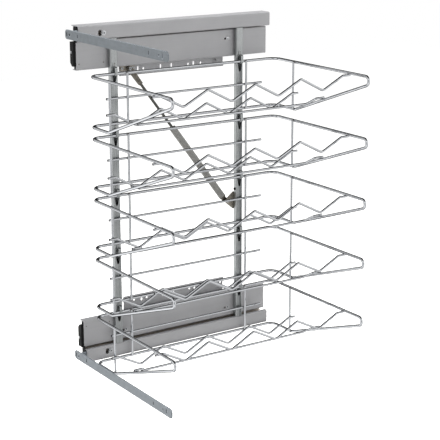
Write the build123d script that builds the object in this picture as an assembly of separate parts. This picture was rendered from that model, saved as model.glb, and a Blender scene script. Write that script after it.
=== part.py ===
from build123d import *
import math
import os

# Pull-out wine rack, in millimetres.
# X runs out from the cabinet wall, Y from the cabinet's front to its back, Z up.
# The origin is on the wall, midway between the two inner wall screws of the lower strip.

# Overall sizes
unit_length = 560.0  # length of both slide units
unit_height = 108.0  # height of each slide unit
overall_height = 851.0  # from the bottom of the lower unit to the top of the upper one
front_to_screws = 264.0  # from the units' front end back to the middle of the wall screws
lower_row_rise = 22.0  # lower wall screws above the lower unit's inner edge
upper_row_drop = 13.0  # upper wall screws below the upper unit's inner edge

# Carrier boxes, the moving channels
box_height = 35.0
box_reach = 36.0
box_sheet = 2.0
box_lip = 9.0
box_bend = 1.5
wall_gap = 1.5  # between the box's outer flange and the wall
cut = 1.0  # how far a cut runs past the faces it opens

# Rail panels, fixed
panel_reach = 22.0
panel_sheet = 1.5
panel_bend = 1.5
panel_edge_gap = 3.0  # between the box's lip and the panel's near edge
panel_return = 7.0  # depth of the panel's turned near edge
panel_setback = 2.0  # the panel stops this much short of the box's rear end
panel_wall_gap = 2.2  # between the panel's turned far edge and the wall
panel_notch_drop = 6.0  # from the box's lip to the end of the notch that clears the end cap
panel_notch_play = 0.4

# Wall strips
strip_sheet = 2.0
strip_start = 4.0  # from the unit's outer face to the strip's hidden edge
strip_overhang = 14.0  # the strip's visible edge past the row of holes
strip_bend = 0.5
strip_lip = 5.0
strip_hem = 6.0
strip_end_gap = 5.0  # hidden part of the strip, short of the unit's ends
strip_front = 136.0  # visible part of the strip, forward of the middle of the screws
strip_back = 172.0
screw_hole = 6.0
inner_screw_offset = 66.0
outer_screw_offset = 104.0
rear_screw_offset = 165.0
slot_offsets = (16.0, 82.0)
slot_width = 5.0
slot_height = 13.0
catch_offset = 146.0  # small hook near the upper strip's rear end
catch_reach = 9.0
catch_height = 14.0
catch_sheet = 1.5
catch_stem = 4.5
catch_tip = 3.0
strip_join = 1.0  # overlap of the strip's hidden and visible parts

# Ball slides
track_sheet = 1.6
track_bend = 0.4
track_height = 28.0
track_depth = 12.0
track_end_gap = 6.0  # from the units' ends to the fixed track's ends
ball = 3.2
ball_play = 0.1  # free height of a ball between its two races
slide_play = 2.0  # between the webs of the fixed and the middle slide
middle_depth = 14.4
moving_depth = 14.0
moving_web_reach = 24.0
cage_sheet = 1.2
cage_width = 6.0
cage_length = 180.0
cage_start = -100.0  # the cages' front ends, where they stay in the slides' overlap at full travel
cage_balls = 7
cage_play = 0.2

# Fastenings of the slides
rivet = 4.0
rivet_head = 7.0
rivet_head_height = 1.4
track_rivets_per_slide = 3
track_rivet_inset = 20.0
slide_rivet = 3.0
slide_rivet_head = 4.0
spacer_length = 30.0
spacer_offsets = (-130.0, 20.0, 240.0)  # along Y, from the middle of the wall screws

# Panel stand-offs and screws
standoff_width = 10.0
panel_screw = 4.0
panel_screw_head = 7.5
panel_screw_play = 0.15  # between the screws' low heads and the posts that pass over them
panel_screw_drop = 62.0  # from the unit's outer face
panel_screw_spread = 157.5  # from the middle between the posts
panel_hole = 6.0
panel_hole_step = 8.0  # the open hole beside each panel screw

# End caps at the front
cap_front = 7.0  # how far the cap's body stands out in front of the units
cap_sheet = 3.0
cap_reach = 20.0
cap_back = 4.0
cap_far_edge = 98.0  # from the unit's outer face
cap_chamfer = 8.0
cap_round = 20.6  # diameter of the round end that fills the box's mouth
cap_round_flat = 0.5  # how much of it is flattened under the box's flange
cap_plug_width = 6.0
cap_plug_length = 14.0
cap_corner = 3.0
cap_step = 6.0
cap_boss = 8.0
cap_leg_play = 0.4  # between the cap's plug and the arm's leg
cap_screw = 3.5
cap_screw_head = 6.5
cap_screw_head_height = 1.8
cap_screw_drop = 64.0

# Posts
post_width = 20.0
post_depth = 13.5
post_wall = 1.5
post_corner = 2.5
post_middle = 17.0  # middle between the posts, back from the middle of the wall screws
post_spread = 185.5  # from that middle to each post
post_end_plate = 4.0
window_top_width = 16.0
window_foot_width = 5.0
window_rise = 14.0
window_drop = 27.0
window_taper_drop = 2.0  # where the window's sides begin to close
post_screw = 4.0
post_screw_head = 5.0
post_screw_head_height = 2.4

# Baskets
tiers = 5
rim_inset = 120.7  # the first rim below the rack's top, and the last one above its bottom
rim_wire = 7.4
inner_wire = 6.0
weld_sink = 0.5  # how deep crossing wires melt into each other
rail_gap = 2.1  # between the post's face and the rim wire
basket_front = 22.4  # from the units' front end to the front end wire
basket_length = 552.3
basket_reach = 421.0
basket_depth = 122.6  # from the rim down to the lower wire
level_reach = 132.5  # from the wall to where the slanted wire turns level
hairpin_drop = 20.0
hairpin_bend = 10.5
corner_bend = 25.0
fold_bend = 12.0
mid_rail_drop = 60.0
mid_rail_front = 45.6  # from the front end wire to the rail's cut end
mid_rail_back = 43.7
front_upright_inset = 102.6  # wall-side uprights, in from the end wires
rear_upright_inset = 96.7
upright_run = 1.2  # how far an upright's end stands past the middle of the wire it is welded to
bottle_pitch = 132.8
zigzag_depth = 34.0
zigzag_valley_bend = 14.0
zigzag_peak_bend = 8.0
zigzag_tab = 6.0  # how far its ends stand past the end wires
outer_zigzag_reach = 343.8
outer_valley_drop = 37.0
inner_valley_drop = 112.5
inner_tab_drop = 80.0
free_rail_reach = 218.0
free_rail_drop = 93.0
free_rail_jog = 26.0
free_rail_jog_start = 30.0
free_rail_jog_end = 19.0
free_rail_bend = 7.2

# Basket hooks
hook_sheet = 1.5
hook_width = 7.0
hook_rise = 15.0  # from the rim wire's middle up to the hook's underside
hook_root = 11.0  # the flat part welded on the post's face
hook_bend = 2.0

# Door arms
arm_thickness = 3.0
arm_height = 22.9
arm_drop = 20.0  # the arm's middle, from the unit's outer face
arm_front_gap = 16.5  # from the units' front end to the arm's back
arm_start = 5.5
arm_length = 466.0
arm_corner = 8.0
arm_edge = 1.0  # radius along the bar's front edges
door_hole = 5.4
near_door_hole = 22.5  # from the arm's near end
far_door_hole = 37.0  # from its far end
tall_slot_inset = 9.0
tall_slot_width = 5.0
tall_slot_height = 12.0
far_slot_inset = 22.0
near_small_slot = 63.0
far_small_slot = 80.0
small_slot_width = 3.5
small_slot_height = 10.0
leg_height = 20.0
leg_weld = 1.5  # how deep the leg runs into the bar
leg_end = 84.0  # behind the units' front end
clamp_inset = 68.0  # clamp screw behind the units' front end
clamp_screw = 6.0
clamp_play = 0.2
clamp_washer = 12.6
clamp_washer_height = 1.2
clamp_head = 8.5
clamp_head_height = 2.6
clamp_socket = 4.4
clamp_socket_depth = 2.0
clamp_nut = 11.0
clamp_nut_height = 4.0
clamp_screw_tip = 0.4  # how far the screw stands out of its nut
keyhole = 14.0
keyhole_step = 9.5
window_width = 10.0
window_height = 15.0

# Strut
strut_reach = 10.0  # the strut's middle plane, from the wall
strut_top_offset = 111.4  # forward of the middle of the wall screws
strut_top_drop = 8.0  # below the upper unit's inner edge
strut_foot_inset = 19.0  # from the rear post's front side to the foot pivot
strut_foot_drop = 492.0  # below the top of the upper unit
eye_width = 12.0
eye_thickness = 8.0
eye_body_width = 13.0
fitting_length = 53.0
fitting_wall = 1.5
rod_grip = 26.0  # how deep the piston rod is screwed into the fitting
piston_rod = 7.0
cylinder = 18.0
cylinder_wall = 1.5
cylinder_top = 205.0  # from the top pivot, along the strut
cylinder_foot_gap = 17.0  # from the cylinder's end to the foot pivot
piston_length = 14.0
piston_back = 115.0  # from the cylinder's foot to the piston: room for the strut to shorten as the rack passes it
piston_play = 0.1
seal_length = 5.0
seal_inset = 1.0
end_ring_length = 4.0
end_spigot_length = 8.0
pin = 6.0
pin_play = 0.05
pin_head = 9.0
pin_head_height = 2.0
wall_bracket_length = 40.0
wall_bracket_height = 14.0
wall_bracket_sheet = 3.0
wall_bracket_corner = 3.5
bracket_rivet_inset = 5.0
boss_play = 0.2  # between the fitting's eye and the faces beside it
wall_bracket_ahead = 22.5  # from the top pivot to the bracket's front end
boss = 12.0
foot_bracket_sheet = 2.5
foot_play = 0.4  # between the strut's foot and the plate on the post
foot_bracket_height = 46.0
foot_bracket_ear = 9.0
foot_bracket_tuck = 1.5  # how far the plate's ear starts behind the post's side
foot_screw_spread = 15.0
foot_screw = 3.0
foot_screw_head = 6.0
foot_screw_head_height = 1.6
stop_button = 8.0
stop_button_height = 3.5
stop_button_stem = 3.0
stop_button_tail = 1.0
stop_button_rise = 32.0

# Places worked out from the sizes above
lower_bottom = -lower_row_rise - unit_height
upper_top = lower_bottom + overall_height
front_end = -front_to_screws
rear_end = front_end + unit_length
post_front_y = post_middle - post_spread
post_rear_y = post_middle + post_spread
post_back = box_reach - post_depth
rail_x = box_reach + rail_gap + rim_wire / 2
end_front = front_end + basket_front
end_rear = end_front + basket_length
basket_middle = (end_front + end_rear) / 2
bottles = int(basket_length // bottle_pitch)  # as many whole bays as fit between the end wires
weld_step = rim_wire / 2 + inner_wire / 2 - weld_sink
thin_weld_step = inner_wire - weld_sink
clamp_y = front_end + clamp_inset
tier_pitch = (overall_height - 2 * rim_inset) / (tiers - 1)
rims = [upper_top - rim_inset - tier * tier_pitch for tier in range(tiers)]


def slab(x0, x1, y0, y1, z0, z1):
    """A plain block between two corners."""
    return Pos((x0 + x1) / 2, (y0 + y1) / 2, (z0 + z1) / 2) * Box(x1 - x0, y1 - y0, z1 - z0)


def cylinder_x(x0, x1, y, z, diameter):
    """A round bar along X."""
    return Pos((x0 + x1) / 2, y, z) * Rot(Y=90) * Cylinder(diameter / 2, x1 - x0)


def cylinder_y(y0, y1, x, z, diameter):
    """A round bar along Y."""
    return Pos(x, (y0 + y1) / 2, z) * Rot(X=90) * Cylinder(diameter / 2, y1 - y0)


def cylinder_z(z0, z1, x, y, diameter):
    """A round bar along Z."""
    return Pos(x, y, (z0 + z1) / 2) * Cylinder(diameter / 2, z1 - z0)


def slot_x(x0, x1, y, z, width, height):
    """An upright slot with round ends, cut along X."""
    straight = (height - width) / 2
    middle = slab(x0, x1, y - width / 2, y + width / 2, z - straight, z + straight)
    top = cylinder_x(x0, x1, y, z + straight, width)
    bottom = cylinder_x(x0, x1, y, z - straight, width)
    return middle + top + bottom


def slot_y(y0, y1, x, z, width, height):
    """An upright slot with round ends, cut along Y."""
    straight = (height - width) / 2
    middle = slab(x - width / 2, x + width / 2, y0, y1, z - straight, z + straight)
    top = cylinder_y(y0, y1, x, z + straight, width)
    bottom = cylinder_y(y0, y1, x, z - straight, width)
    return middle + top + bottom


def dome(diameter, height):
    """A low round cap standing on its flat face."""
    ball_radius = (diameter * diameter / 4 + height * height) / (2 * height)
    latitude = math.degrees(math.asin((ball_radius - height) / ball_radius))
    return Sphere(ball_radius, arc_size1=latitude, align=(Align.CENTER, Align.CENTER, Align.MIN))


def extrude_along_y(face, y0, y1):
    """A flat outline drawn in X and Z, run along Y."""
    return extrude(Pos(0, y1, 0) * (Plane.XZ * face), amount=y1 - y0)


def extrude_along_x(face, x0, x1):
    """A flat outline drawn in Y and Z, run along X."""
    return extrude(Pos(x0, 0, 0) * (Plane.YZ * face), amount=x1 - x0)


def offset_point(points, index, distance):
    """The point that lies distance to the left of a path's corner, on the mitre."""
    normals = []
    if index > 0:
        normals.append(segment_normal(points[index - 1], points[index]))
    if index < len(points) - 1:
        normals.append(segment_normal(points[index], points[index + 1]))
    nx = sum(n[0] for n in normals) / len(normals)
    nz = sum(n[1] for n in normals) / len(normals)
    scale = distance / (nx * nx + nz * nz)
    return (points[index][0] + nx * scale, points[index][1] + nz * scale)


def segment_normal(start, end):
    """The unit vector to the left of a segment."""
    dx = end[0] - start[0]
    dz = end[1] - start[1]
    length = math.hypot(dx, dz)
    return (-dz / length, dx / length)


def turns_left(before, corner, after):
    """Whether a path bends to its left at a corner."""
    cross = (corner[0] - before[0]) * (after[1] - corner[1]) - (corner[1] - before[1]) * (after[0] - corner[0])
    return cross > 0


def bent_outline(path, thickness, bend):
    """The section of a sheet bent along path, which is its right-hand side, with rounded bends."""
    left = [offset_point(path, index, thickness) for index in range(len(path))]
    right_radii = [0.0]
    left_radii = [0.0]
    for index in range(1, len(path) - 1):
        inside_left = turns_left(path[index - 1], path[index], path[index + 1])
        right_radii.append(bend + thickness if inside_left else bend)
        left_radii.append(bend if inside_left else bend + thickness)
    right_radii.append(0.0)
    left_radii.append(0.0)
    corners = list(path) + left[::-1]
    radii = right_radii + left_radii[::-1]
    return make_face(FilletPolyline(*corners, radius=radii, close=True))


def rod(points, radii, diameter):
    """A round wire along straight runs joined by arcs, one radius for each corner."""
    if len(points) > 2:
        path = FilletPolyline(*points, radius=radii)
    else:
        path = Line(*points)
    return sweep(Plane(path @ 0, z_dir=path % 0) * Circle(diameter / 2), path=path)


def upper_place(local):
    """A piece drawn downwards from the unit's outer face, put at the top."""
    return Pos(0, 0, upper_top) * local


def lower_place(local):
    """The same piece turned over and put at the bottom."""
    return Pos(0, 0, lower_bottom) * mirror(local, about=Plane.XY)


# Carrier boxes

def carrier_box():
    """Channel with an outer flange reaching to the wall, a face and a short inner lip."""
    path = [
        (box_reach - box_lip, -box_height),
        (box_reach, -box_height),
        (box_reach, 0.0),
        (wall_gap, 0.0),
    ]
    channel = extrude_along_y(bent_outline(path, box_sheet, box_bend), front_end, rear_end)
    face0 = box_reach - box_sheet - cut
    face1 = box_reach + cut
    channel -= cylinder_x(face0, face1, clamp_y, -arm_drop, clamp_screw + 2 * clamp_play)
    channel -= slot_x(face0, face1, clamp_y - keyhole_step, -arm_drop, window_width, window_height)
    for post_y in (post_front_y, post_rear_y):
        channel -= cylinder_z(-box_height - cut, -box_height + box_sheet + cut, post_screw_x(), post_y, post_screw)
    return channel


def post_screw_x():
    """The post's screws stand in the middle of the lip's flat part."""
    return box_reach - box_lip + (box_lip - box_sheet - box_bend) / 2


# Ball slides, drawn around the middle of the fixed track

def slide_middle():
    """Distance from the unit's outer face to the middle of the slides."""
    return strip_start + track_height / 2


def race_gap():
    """Free height between two races."""
    return ball + ball_play


def middle_height():
    """Outer height of the middle slide."""
    return track_height - 2 * (track_sheet + race_gap())


def moving_height():
    """Outer height of the moving slide."""
    return middle_height() - 2 * (track_sheet + race_gap())


def track_front():
    """Front end of the fixed track."""
    return front_end + track_end_gap


def channel_outline(web_x, depth, height, opens_out):
    """A plain C section with its web at web_x, open away from the wall or towards it."""
    edge = web_x + depth if opens_out else web_x - depth
    half = height / 2
    middle = -slide_middle()
    path = [(edge, middle + half), (web_x, middle + half), (web_x, middle - half), (edge, middle - half)]
    if not opens_out:
        path = path[::-1]
    return bent_outline(path, track_sheet, track_bend)


def fixed_track():
    """The slide's outer member, on the wall strip."""
    outline = channel_outline(strip_sheet, track_depth, track_height, True)
    track = extrude_along_y(outline, track_front(), rear_end - track_end_gap)
    for y in track_rivet_places():
        track -= cylinder_x(0, strip_sheet + track_sheet + cut, y, -slide_middle(), rivet)
    return track


def track_rivet_places():
    """Even places for the rivets along the fixed track."""
    first = track_front() + track_rivet_inset
    last = rear_end - track_end_gap - track_rivet_inset
    step = (last - first) / (track_rivets_per_slide - 1)
    return [first + step * index for index in range(track_rivets_per_slide)]


def middle_web():
    """Wall-side face of the middle slide's web."""
    return strip_sheet + track_sheet + slide_play


def middle_slide():
    """The slide's middle member, which runs out half as far as the rack."""
    outline = channel_outline(middle_web(), middle_depth, middle_height(), True)
    return extrude_along_y(outline, track_front(), rear_end - track_end_gap)


def moving_slide():
    """The slide's inner member, which carries the box."""
    outline = channel_outline(moving_web_reach, moving_depth, moving_height(), False)
    slide = extrude_along_y(outline, track_front(), rear_end - track_end_gap)
    for offset in spacer_offsets:
        slide -= cylinder_x(moving_web_reach - track_sheet - cut, moving_web_reach + cut, offset, -slide_middle(),
                            slide_rivet)
    return slide


def cage_row(x, z):
    """One cage strip with its loose balls."""
    strip = slab(x - cage_width / 2, x + cage_width / 2, cage_start, cage_start + cage_length,
                 z - cage_sheet / 2, z + cage_sheet / 2)
    step = cage_length / cage_balls
    balls = []
    for index in range(cage_balls):
        y = cage_start + step * (index + 0.5)
        strip -= cylinder_z(z - cage_sheet, z + cage_sheet, x, y, ball + cage_play)
        balls.append(Pos(x, y, z) * Sphere(ball / 2))
    return [strip] + balls


def cage_pair(x, half):
    """The upper and the lower row of one stage."""
    middle = -slide_middle()
    return cage_row(x, middle + half) + cage_row(x, middle - half)


def outer_cages():
    """Balls between the fixed track and the middle slide."""
    overlap_start = middle_web() + track_sheet
    overlap_end = strip_sheet + track_depth
    half = track_height / 2 - track_sheet - race_gap() / 2
    return cage_pair((overlap_start + overlap_end) / 2, half)


def inner_cages():
    """Balls between the middle slide and the moving slide."""
    overlap_start = moving_web_reach - moving_depth
    overlap_end = middle_web() + middle_depth
    half = middle_height() / 2 - track_sheet - race_gap() / 2
    return cage_pair((overlap_start + overlap_end) / 2, half)


def slide_spacers():
    """Blocks welded behind the box's face, which carry it on the moving slide."""
    pieces = []
    half = moving_height() / 2
    spacer_face = box_reach - box_sheet
    for offset in spacer_offsets:
        block = slab(moving_web_reach, spacer_face, offset - spacer_length / 2, offset + spacer_length / 2,
                     -slide_middle() - half, -slide_middle() + half)
        block -= cylinder_x(moving_web_reach - cut, spacer_face + cut, offset, -slide_middle(), slide_rivet)
        pieces.append(block)
    return pieces


def slide_rivets():
    """Rivets through the spacers and the moving slide, flush with the spacers' faces."""
    pieces = []
    inner_face = moving_web_reach - track_sheet
    for offset in spacer_offsets:
        shank = cylinder_x(inner_face - rivet_head_height, box_reach - box_sheet, offset, -slide_middle(),
                           slide_rivet)
        head = cylinder_x(inner_face - rivet_head_height, inner_face, offset, -slide_middle(), slide_rivet_head)
        pieces.append(shank + head)
    return pieces


def track_rivets():
    """Rivets that hold the fixed track on the wall strip."""
    pieces = []
    web_face = strip_sheet + track_sheet
    for y in track_rivet_places():
        shank = cylinder_x(0, web_face + rivet_head_height, y, -slide_middle(), rivet)
        head = cylinder_x(web_face, web_face + rivet_head_height, y, -slide_middle(), rivet_head)
        pieces.append(shank + head)
    return pieces


# Wall strips

def wall_strip(row_distance, holes, slots, catch):
    """Sheet against the wall: hidden behind the panel, and past it a row of holes and a turned lip."""
    edge = unit_height + row_distance + strip_overhang
    hidden = slab(0, strip_sheet, front_end + strip_end_gap, rear_end - strip_end_gap,
                  -unit_height + panel_sheet, -strip_start)
    path = [
        (0.0, -unit_height + panel_sheet + strip_join),
        (0.0, -edge),
        (strip_lip, -edge),
        (strip_lip, -edge + strip_hem),
    ]
    visible = extrude_along_y(bent_outline(path, strip_sheet, strip_bend), -strip_front, strip_back)
    strip = hidden + visible
    row = -unit_height - row_distance
    for y in holes:
        strip -= cylinder_x(-cut, strip_sheet + cut, y, row, screw_hole)
    for y in slots:
        strip -= slot_x(-cut, strip_sheet + cut, y, row, slot_width, slot_height)
    for y in track_rivet_places():
        strip -= cylinder_x(-cut, strip_sheet + cut, y, -slide_middle(), rivet)
    for y in panel_screw_places():
        strip -= cylinder_x(-cut, strip_sheet + cut, y, -panel_screw_drop, panel_screw)
    if catch:
        strip += wall_catch(row)
    return strip


def wall_catch(row):
    """Small hook standing out of the strip."""
    reach = strip_sheet + catch_reach
    half = catch_height / 2
    stem = slab(strip_sheet / 2, reach, catch_offset, catch_offset + catch_sheet, row + half - catch_stem, row + half)
    tip = slab(reach - catch_tip, reach, catch_offset, catch_offset + catch_sheet, row - half, row + half)
    return stem + tip


def mirrored(offsets):
    """Each offset on both sides of the middle."""
    return [-value for value in offsets] + list(offsets)


def upper_strip():
    """The upper strip in its place."""
    local = wall_strip(upper_row_drop, mirrored([inner_screw_offset]) + [outer_screw_offset],
                       mirrored(slot_offsets), True)
    bracket_y = -strut_top_offset - wall_bracket_ahead
    row = strut_pivot_top()[1] - upper_top
    for y in bracket_rivet_places(bracket_y):
        local -= cylinder_x(-cut, strip_sheet + cut, y, row, rivet)
    return upper_place(local)


def lower_strip():
    """The lower strip in its place."""
    local = wall_strip(lower_row_rise, mirrored([inner_screw_offset]) + [-outer_screw_offset, rear_screw_offset],
                       mirrored(slot_offsets), False)
    return lower_place(local)


# Rail panels with their stand-offs and screws

def panel_screw_places():
    """The two screws stand either side of the middle between the posts."""
    return [post_middle - panel_screw_spread, post_middle + panel_screw_spread]


def rail_panel():
    """Flat sheet in front of the strip, with its far edge turned back to the wall."""
    near = -box_height - panel_edge_gap
    path = [
        (panel_wall_gap, -unit_height),
        (panel_reach, -unit_height),
        (panel_reach, near),
        (panel_reach - panel_return, near),
    ]
    panel = extrude_along_y(bent_outline(path, panel_sheet, panel_bend), front_end, rear_end - panel_setback)
    panel -= slab(panel_reach - panel_return - cut, panel_reach + cut, front_end - cut,
                  front_end + cap_sheet + panel_notch_play, -box_height - panel_notch_drop, near + cut)
    inner_face = panel_reach - panel_sheet
    for y in panel_screw_places():
        panel -= cylinder_x(inner_face - cut, panel_reach + cut, y, -panel_screw_drop, panel_screw)
        panel -= cylinder_x(inner_face - cut, panel_reach + cut, y - panel_hole_step, -panel_screw_drop, panel_hole)
    return panel


def panel_standoffs():
    """Posts between the wall strip and the panel."""
    pieces = []
    for y in panel_screw_places():
        standoff = cylinder_x(strip_sheet, panel_reach - panel_sheet, y, -panel_screw_drop, standoff_width)
        pieces.append(standoff - cylinder_x(0, panel_reach, y, -panel_screw_drop, panel_screw))
    return pieces


def panel_screws():
    """Screws with low round heads, which the posts pass over."""
    pieces = []
    height = post_back - panel_reach - panel_screw_play
    for y in panel_screw_places():
        shank = cylinder_x(0, panel_reach, y, -panel_screw_drop, panel_screw)
        head = Pos(panel_reach, y, -panel_screw_drop) * Rot(Y=90) * dome(panel_screw_head, height)
        pieces.append(shank + head)
    return pieces


# End caps

def end_cap():
    """Black moulding that closes the unit's front and plugs into the box."""
    lip_face = -box_height + box_sheet
    plug_outer = box_reach - box_sheet - arm_thickness - cap_leg_play
    plug_inner = plug_outer - cap_plug_width
    shoulder = lip_face - cap_step
    round_x = plug_outer - cap_round / 2
    round_z = -box_sheet + cap_round_flat - cap_round / 2
    body_outline = Polyline(
        (cap_back, shoulder),
        (cap_back, -cap_far_edge + cap_chamfer),
        (cap_back + cap_chamfer, -cap_far_edge),
        (cap_reach, -cap_far_edge),
        (cap_reach, shoulder),
        close=True,
    )
    neck_outline = Polyline(
        (plug_outer - cap_round, shoulder),
        (cap_reach, shoulder),
        (plug_outer, lip_face + cap_step),
        (plug_outer, round_z),
        (plug_outer - cap_round, round_z),
        close=True,
    )
    back = front_end + cap_sheet
    cap = extrude_along_y(make_face(body_outline), front_end - cap_front, back)
    cap += extrude_along_y(make_face(neck_outline), front_end, back)
    cap += cylinder_y(front_end, back, round_x, round_z, cap_round)
    cap -= slab(0, box_reach, front_end - cut, back + cut, -box_sheet, 0)
    tip = front_end + cap_plug_length
    cap += slab(plug_inner, plug_outer, front_end + cap_sheet / 2, tip, lip_face + cap_step, -box_sheet - cap_corner)
    cap += cylinder_y(front_end, tip, cap_screw_x(), -cap_screw_drop, cap_boss)
    return cap - cylinder_y(front_end - cap_front - cut, tip + cut, cap_screw_x(), -cap_screw_drop, cap_screw)


def cap_screw_x():
    """The cap's screw stands in the middle of its wide part."""
    return (cap_back + cap_reach) / 2


def end_cap_screw():
    """The bright screw in the middle of the cap."""
    x = cap_screw_x()
    seat = front_end - cap_front
    head_front = seat - cap_screw_head_height
    shank = cylinder_y(head_front, front_end + cap_plug_length, x, -cap_screw_drop, cap_screw)
    return shank + cylinder_y(head_front, seat, x, -cap_screw_drop, cap_screw_head)


# Posts and their screws

def post(y):
    """Rectangular tube with closed ends and a tapered window at each basket rail."""
    bottom = lower_bottom + box_height
    top = upper_top - box_height
    outer = RectangleRounded(post_depth, post_width, post_corner)
    inner = RectangleRounded(post_depth - 2 * post_wall, post_width - 2 * post_wall, post_corner - post_wall)
    tube = extrude(outer, amount=top - bottom)
    hollow = Pos(0, 0, post_end_plate) * extrude(inner, amount=top - bottom - 2 * post_end_plate)
    piece = Pos(post_back + post_depth / 2, y, bottom) * (tube - hollow)
    for rim in rims:
        piece -= post_window(y, rim)
    for end in (bottom, top):
        piece -= cylinder_z(end - post_end_plate - cut, end + post_end_plate + cut, post_screw_x(), y, post_screw)
    return piece


def rear_post():
    """The rear post, with the holes for the strut's plate and the stop button."""
    piece = post(post_rear_y)
    for z in foot_screw_places():
        piece -= cylinder_x(post_back - cut, post_back + post_wall + cut, post_rear_y, z, foot_screw)
    side = post_rear_y - post_width / 2
    piece -= cylinder_y(side - cut, side + post_wall + cut, post_back + post_depth / 2, stop_button_z(),
                        stop_button_stem)
    return piece


def post_window(y, rim):
    """Window in the post's outer face, wide above the rail and narrow below it."""
    outline = Polyline(
        (y - window_top_width / 2, rim + window_rise),
        (y + window_top_width / 2, rim + window_rise),
        (y + window_top_width / 2, rim - window_taper_drop),
        (y + window_foot_width / 2, rim - window_drop),
        (y - window_foot_width / 2, rim - window_drop),
        (y - window_top_width / 2, rim - window_taper_drop),
        close=True,
    )
    return extrude_along_x(make_face(outline), box_reach - post_wall - cut, box_reach + cut)


def post_screws():
    """One screw through the box's lip into each end of each post."""
    pieces = []
    lip_face = box_height - box_sheet
    for y in (post_front_y, post_rear_y):
        for place, sign in ((upper_top, -1), (lower_bottom, 1)):
            seat = place + sign * lip_face
            tip = place + sign * (box_height + post_end_plate)
            shank = cylinder_z(min(seat, tip), max(seat, tip), post_screw_x(), y, post_screw)
            top = seat - sign * post_screw_head_height
            head = cylinder_z(min(seat, top), max(seat, top), post_screw_x(), y, post_screw_head)
            pieces.append(shank + head)
    return pieces


# Baskets

def basket_frame(rim):
    """The closed frame wire: rim, hairpins at the free side, slanted wires and the lower wall-side wire."""
    low = rim - basket_depth
    front_half = [
        (rail_x, basket_middle, rim),
        (rail_x, end_front, rim),
        (basket_reach, end_front, rim),
        (basket_reach, end_front, rim - hairpin_drop),
        (level_reach, end_front, low),
        (rail_x, end_front, low),
        (rail_x, basket_middle, low),
    ]
    radii = [corner_bend, hairpin_bend, hairpin_bend, fold_bend, corner_bend]
    rear_half = [(x, 2 * basket_middle - y, z) for x, y, z in front_half]
    return rod(front_half, radii, rim_wire) + rod(rear_half, radii, rim_wire)


def slant_height(x, rim):
    """Height of the slanted wire's middle line at x."""
    share = (x - level_reach) / (basket_reach - level_reach)
    return rim - basket_depth + share * (basket_depth - hairpin_drop)


def basket_ends():
    """Each end of the basket: its Y, the direction to the basket's inside and its wall-side upright's inset."""
    return ((end_front, 1, front_upright_inset), (end_rear, -1, rear_upright_inset))


def basket_rails(rim):
    """Uprights, the rail across them and the free rail low down in the middle."""
    pieces = []
    low = rim - basket_depth
    upright_x = rail_x + weld_step
    for y, inward, inset in basket_ends():
        for x, upright_y in ((upright_x, y + inward * inset), (end_upright_x(), y + inward * weld_step)):
            points = [(x, upright_y, low - upright_run), (x, upright_y, rim + upright_run)]
            pieces.append(rod(points, [], inner_wire))
    rail = [
        (upright_x - thin_weld_step, end_front + mid_rail_front, rim - mid_rail_drop),
        (upright_x - thin_weld_step, end_rear - mid_rail_back, rim - mid_rail_drop),
    ]
    pieces.append(rod(rail, [], inner_wire))
    pieces.append(free_rail(rim))
    return pieces


def end_upright_x():
    """The end uprights stand just behind the fold of the slanted wire."""
    return level_reach - thin_weld_step / 2


def free_rail(rim):
    """Straight wire with its ends bent out and up, to lie on the slanted wires."""
    slope = math.atan2(basket_depth - hairpin_drop, basket_reach - level_reach)
    tab_x = free_rail_reach + free_rail_jog
    tab_z = slant_height(tab_x, rim) + weld_step / math.cos(slope)
    low_z = rim - free_rail_drop
    points = [
        (tab_x, end_front - zigzag_tab, tab_z),
        (tab_x, end_front + free_rail_jog_end, tab_z),
        (free_rail_reach, end_front + free_rail_jog_start, low_z),
        (free_rail_reach, end_rear - free_rail_jog_start, low_z),
        (tab_x, end_rear - free_rail_jog_end, tab_z),
        (tab_x, end_rear + zigzag_tab, tab_z),
    ]
    return rod(points, [free_rail_bend] * 4, inner_wire)


def zigzag(x, valley_z, tab_z):
    """Wire that dips once for each bottle, with level tabs at its ends."""
    half = bottle_pitch / 2
    first_valley = basket_middle - half * (bottles - 1)
    rise = zigzag_depth / half
    reach = (tab_z - valley_z) / rise
    last_valley = first_valley + bottle_pitch * (bottles - 1)
    points = [(x, end_front - zigzag_tab, tab_z), (x, first_valley - reach, tab_z)]
    radii = [zigzag_peak_bend]
    for index in range(bottles):
        valley = first_valley + bottle_pitch * index
        points.append((x, valley, valley_z))
        radii.append(zigzag_valley_bend)
        if index < bottles - 1:
            points.append((x, valley + half, valley_z + zigzag_depth))
            radii.append(zigzag_peak_bend)
    points += [(x, last_valley + reach, tab_z), (x, end_rear + zigzag_tab, tab_z)]
    radii.append(zigzag_peak_bend)
    return rod(points, radii, inner_wire)


def basket_zigzags(rim):
    """The two wires that the bottles lie on: the outer one high, the inner one low."""
    outer = zigzag(outer_zigzag_reach, rim - outer_valley_drop, rim - weld_step)
    inner = zigzag(end_upright_x() + thin_weld_step, rim - inner_valley_drop, rim - inner_tab_drop)
    return [outer, inner]


def basket_hook(y, rim):
    """Strap welded on the post's face above its window, out over the rim wire and back under it."""
    loop_front = rail_x + rim_wire / 2
    loop_back = rail_x - rim_wire / 2
    floor = rim - rim_wire / 2
    path = [
        (box_reach, rim + hook_rise + hook_root),
        (box_reach, rim + hook_rise),
        (loop_front, rim + hook_rise),
        (loop_front, floor),
        (loop_back, floor),
    ]
    outline = bent_outline(path, hook_sheet, hook_bend)
    return extrude_along_y(outline, y - hook_width / 2, y + hook_width / 2)


# Door arms and their clamps

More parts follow.
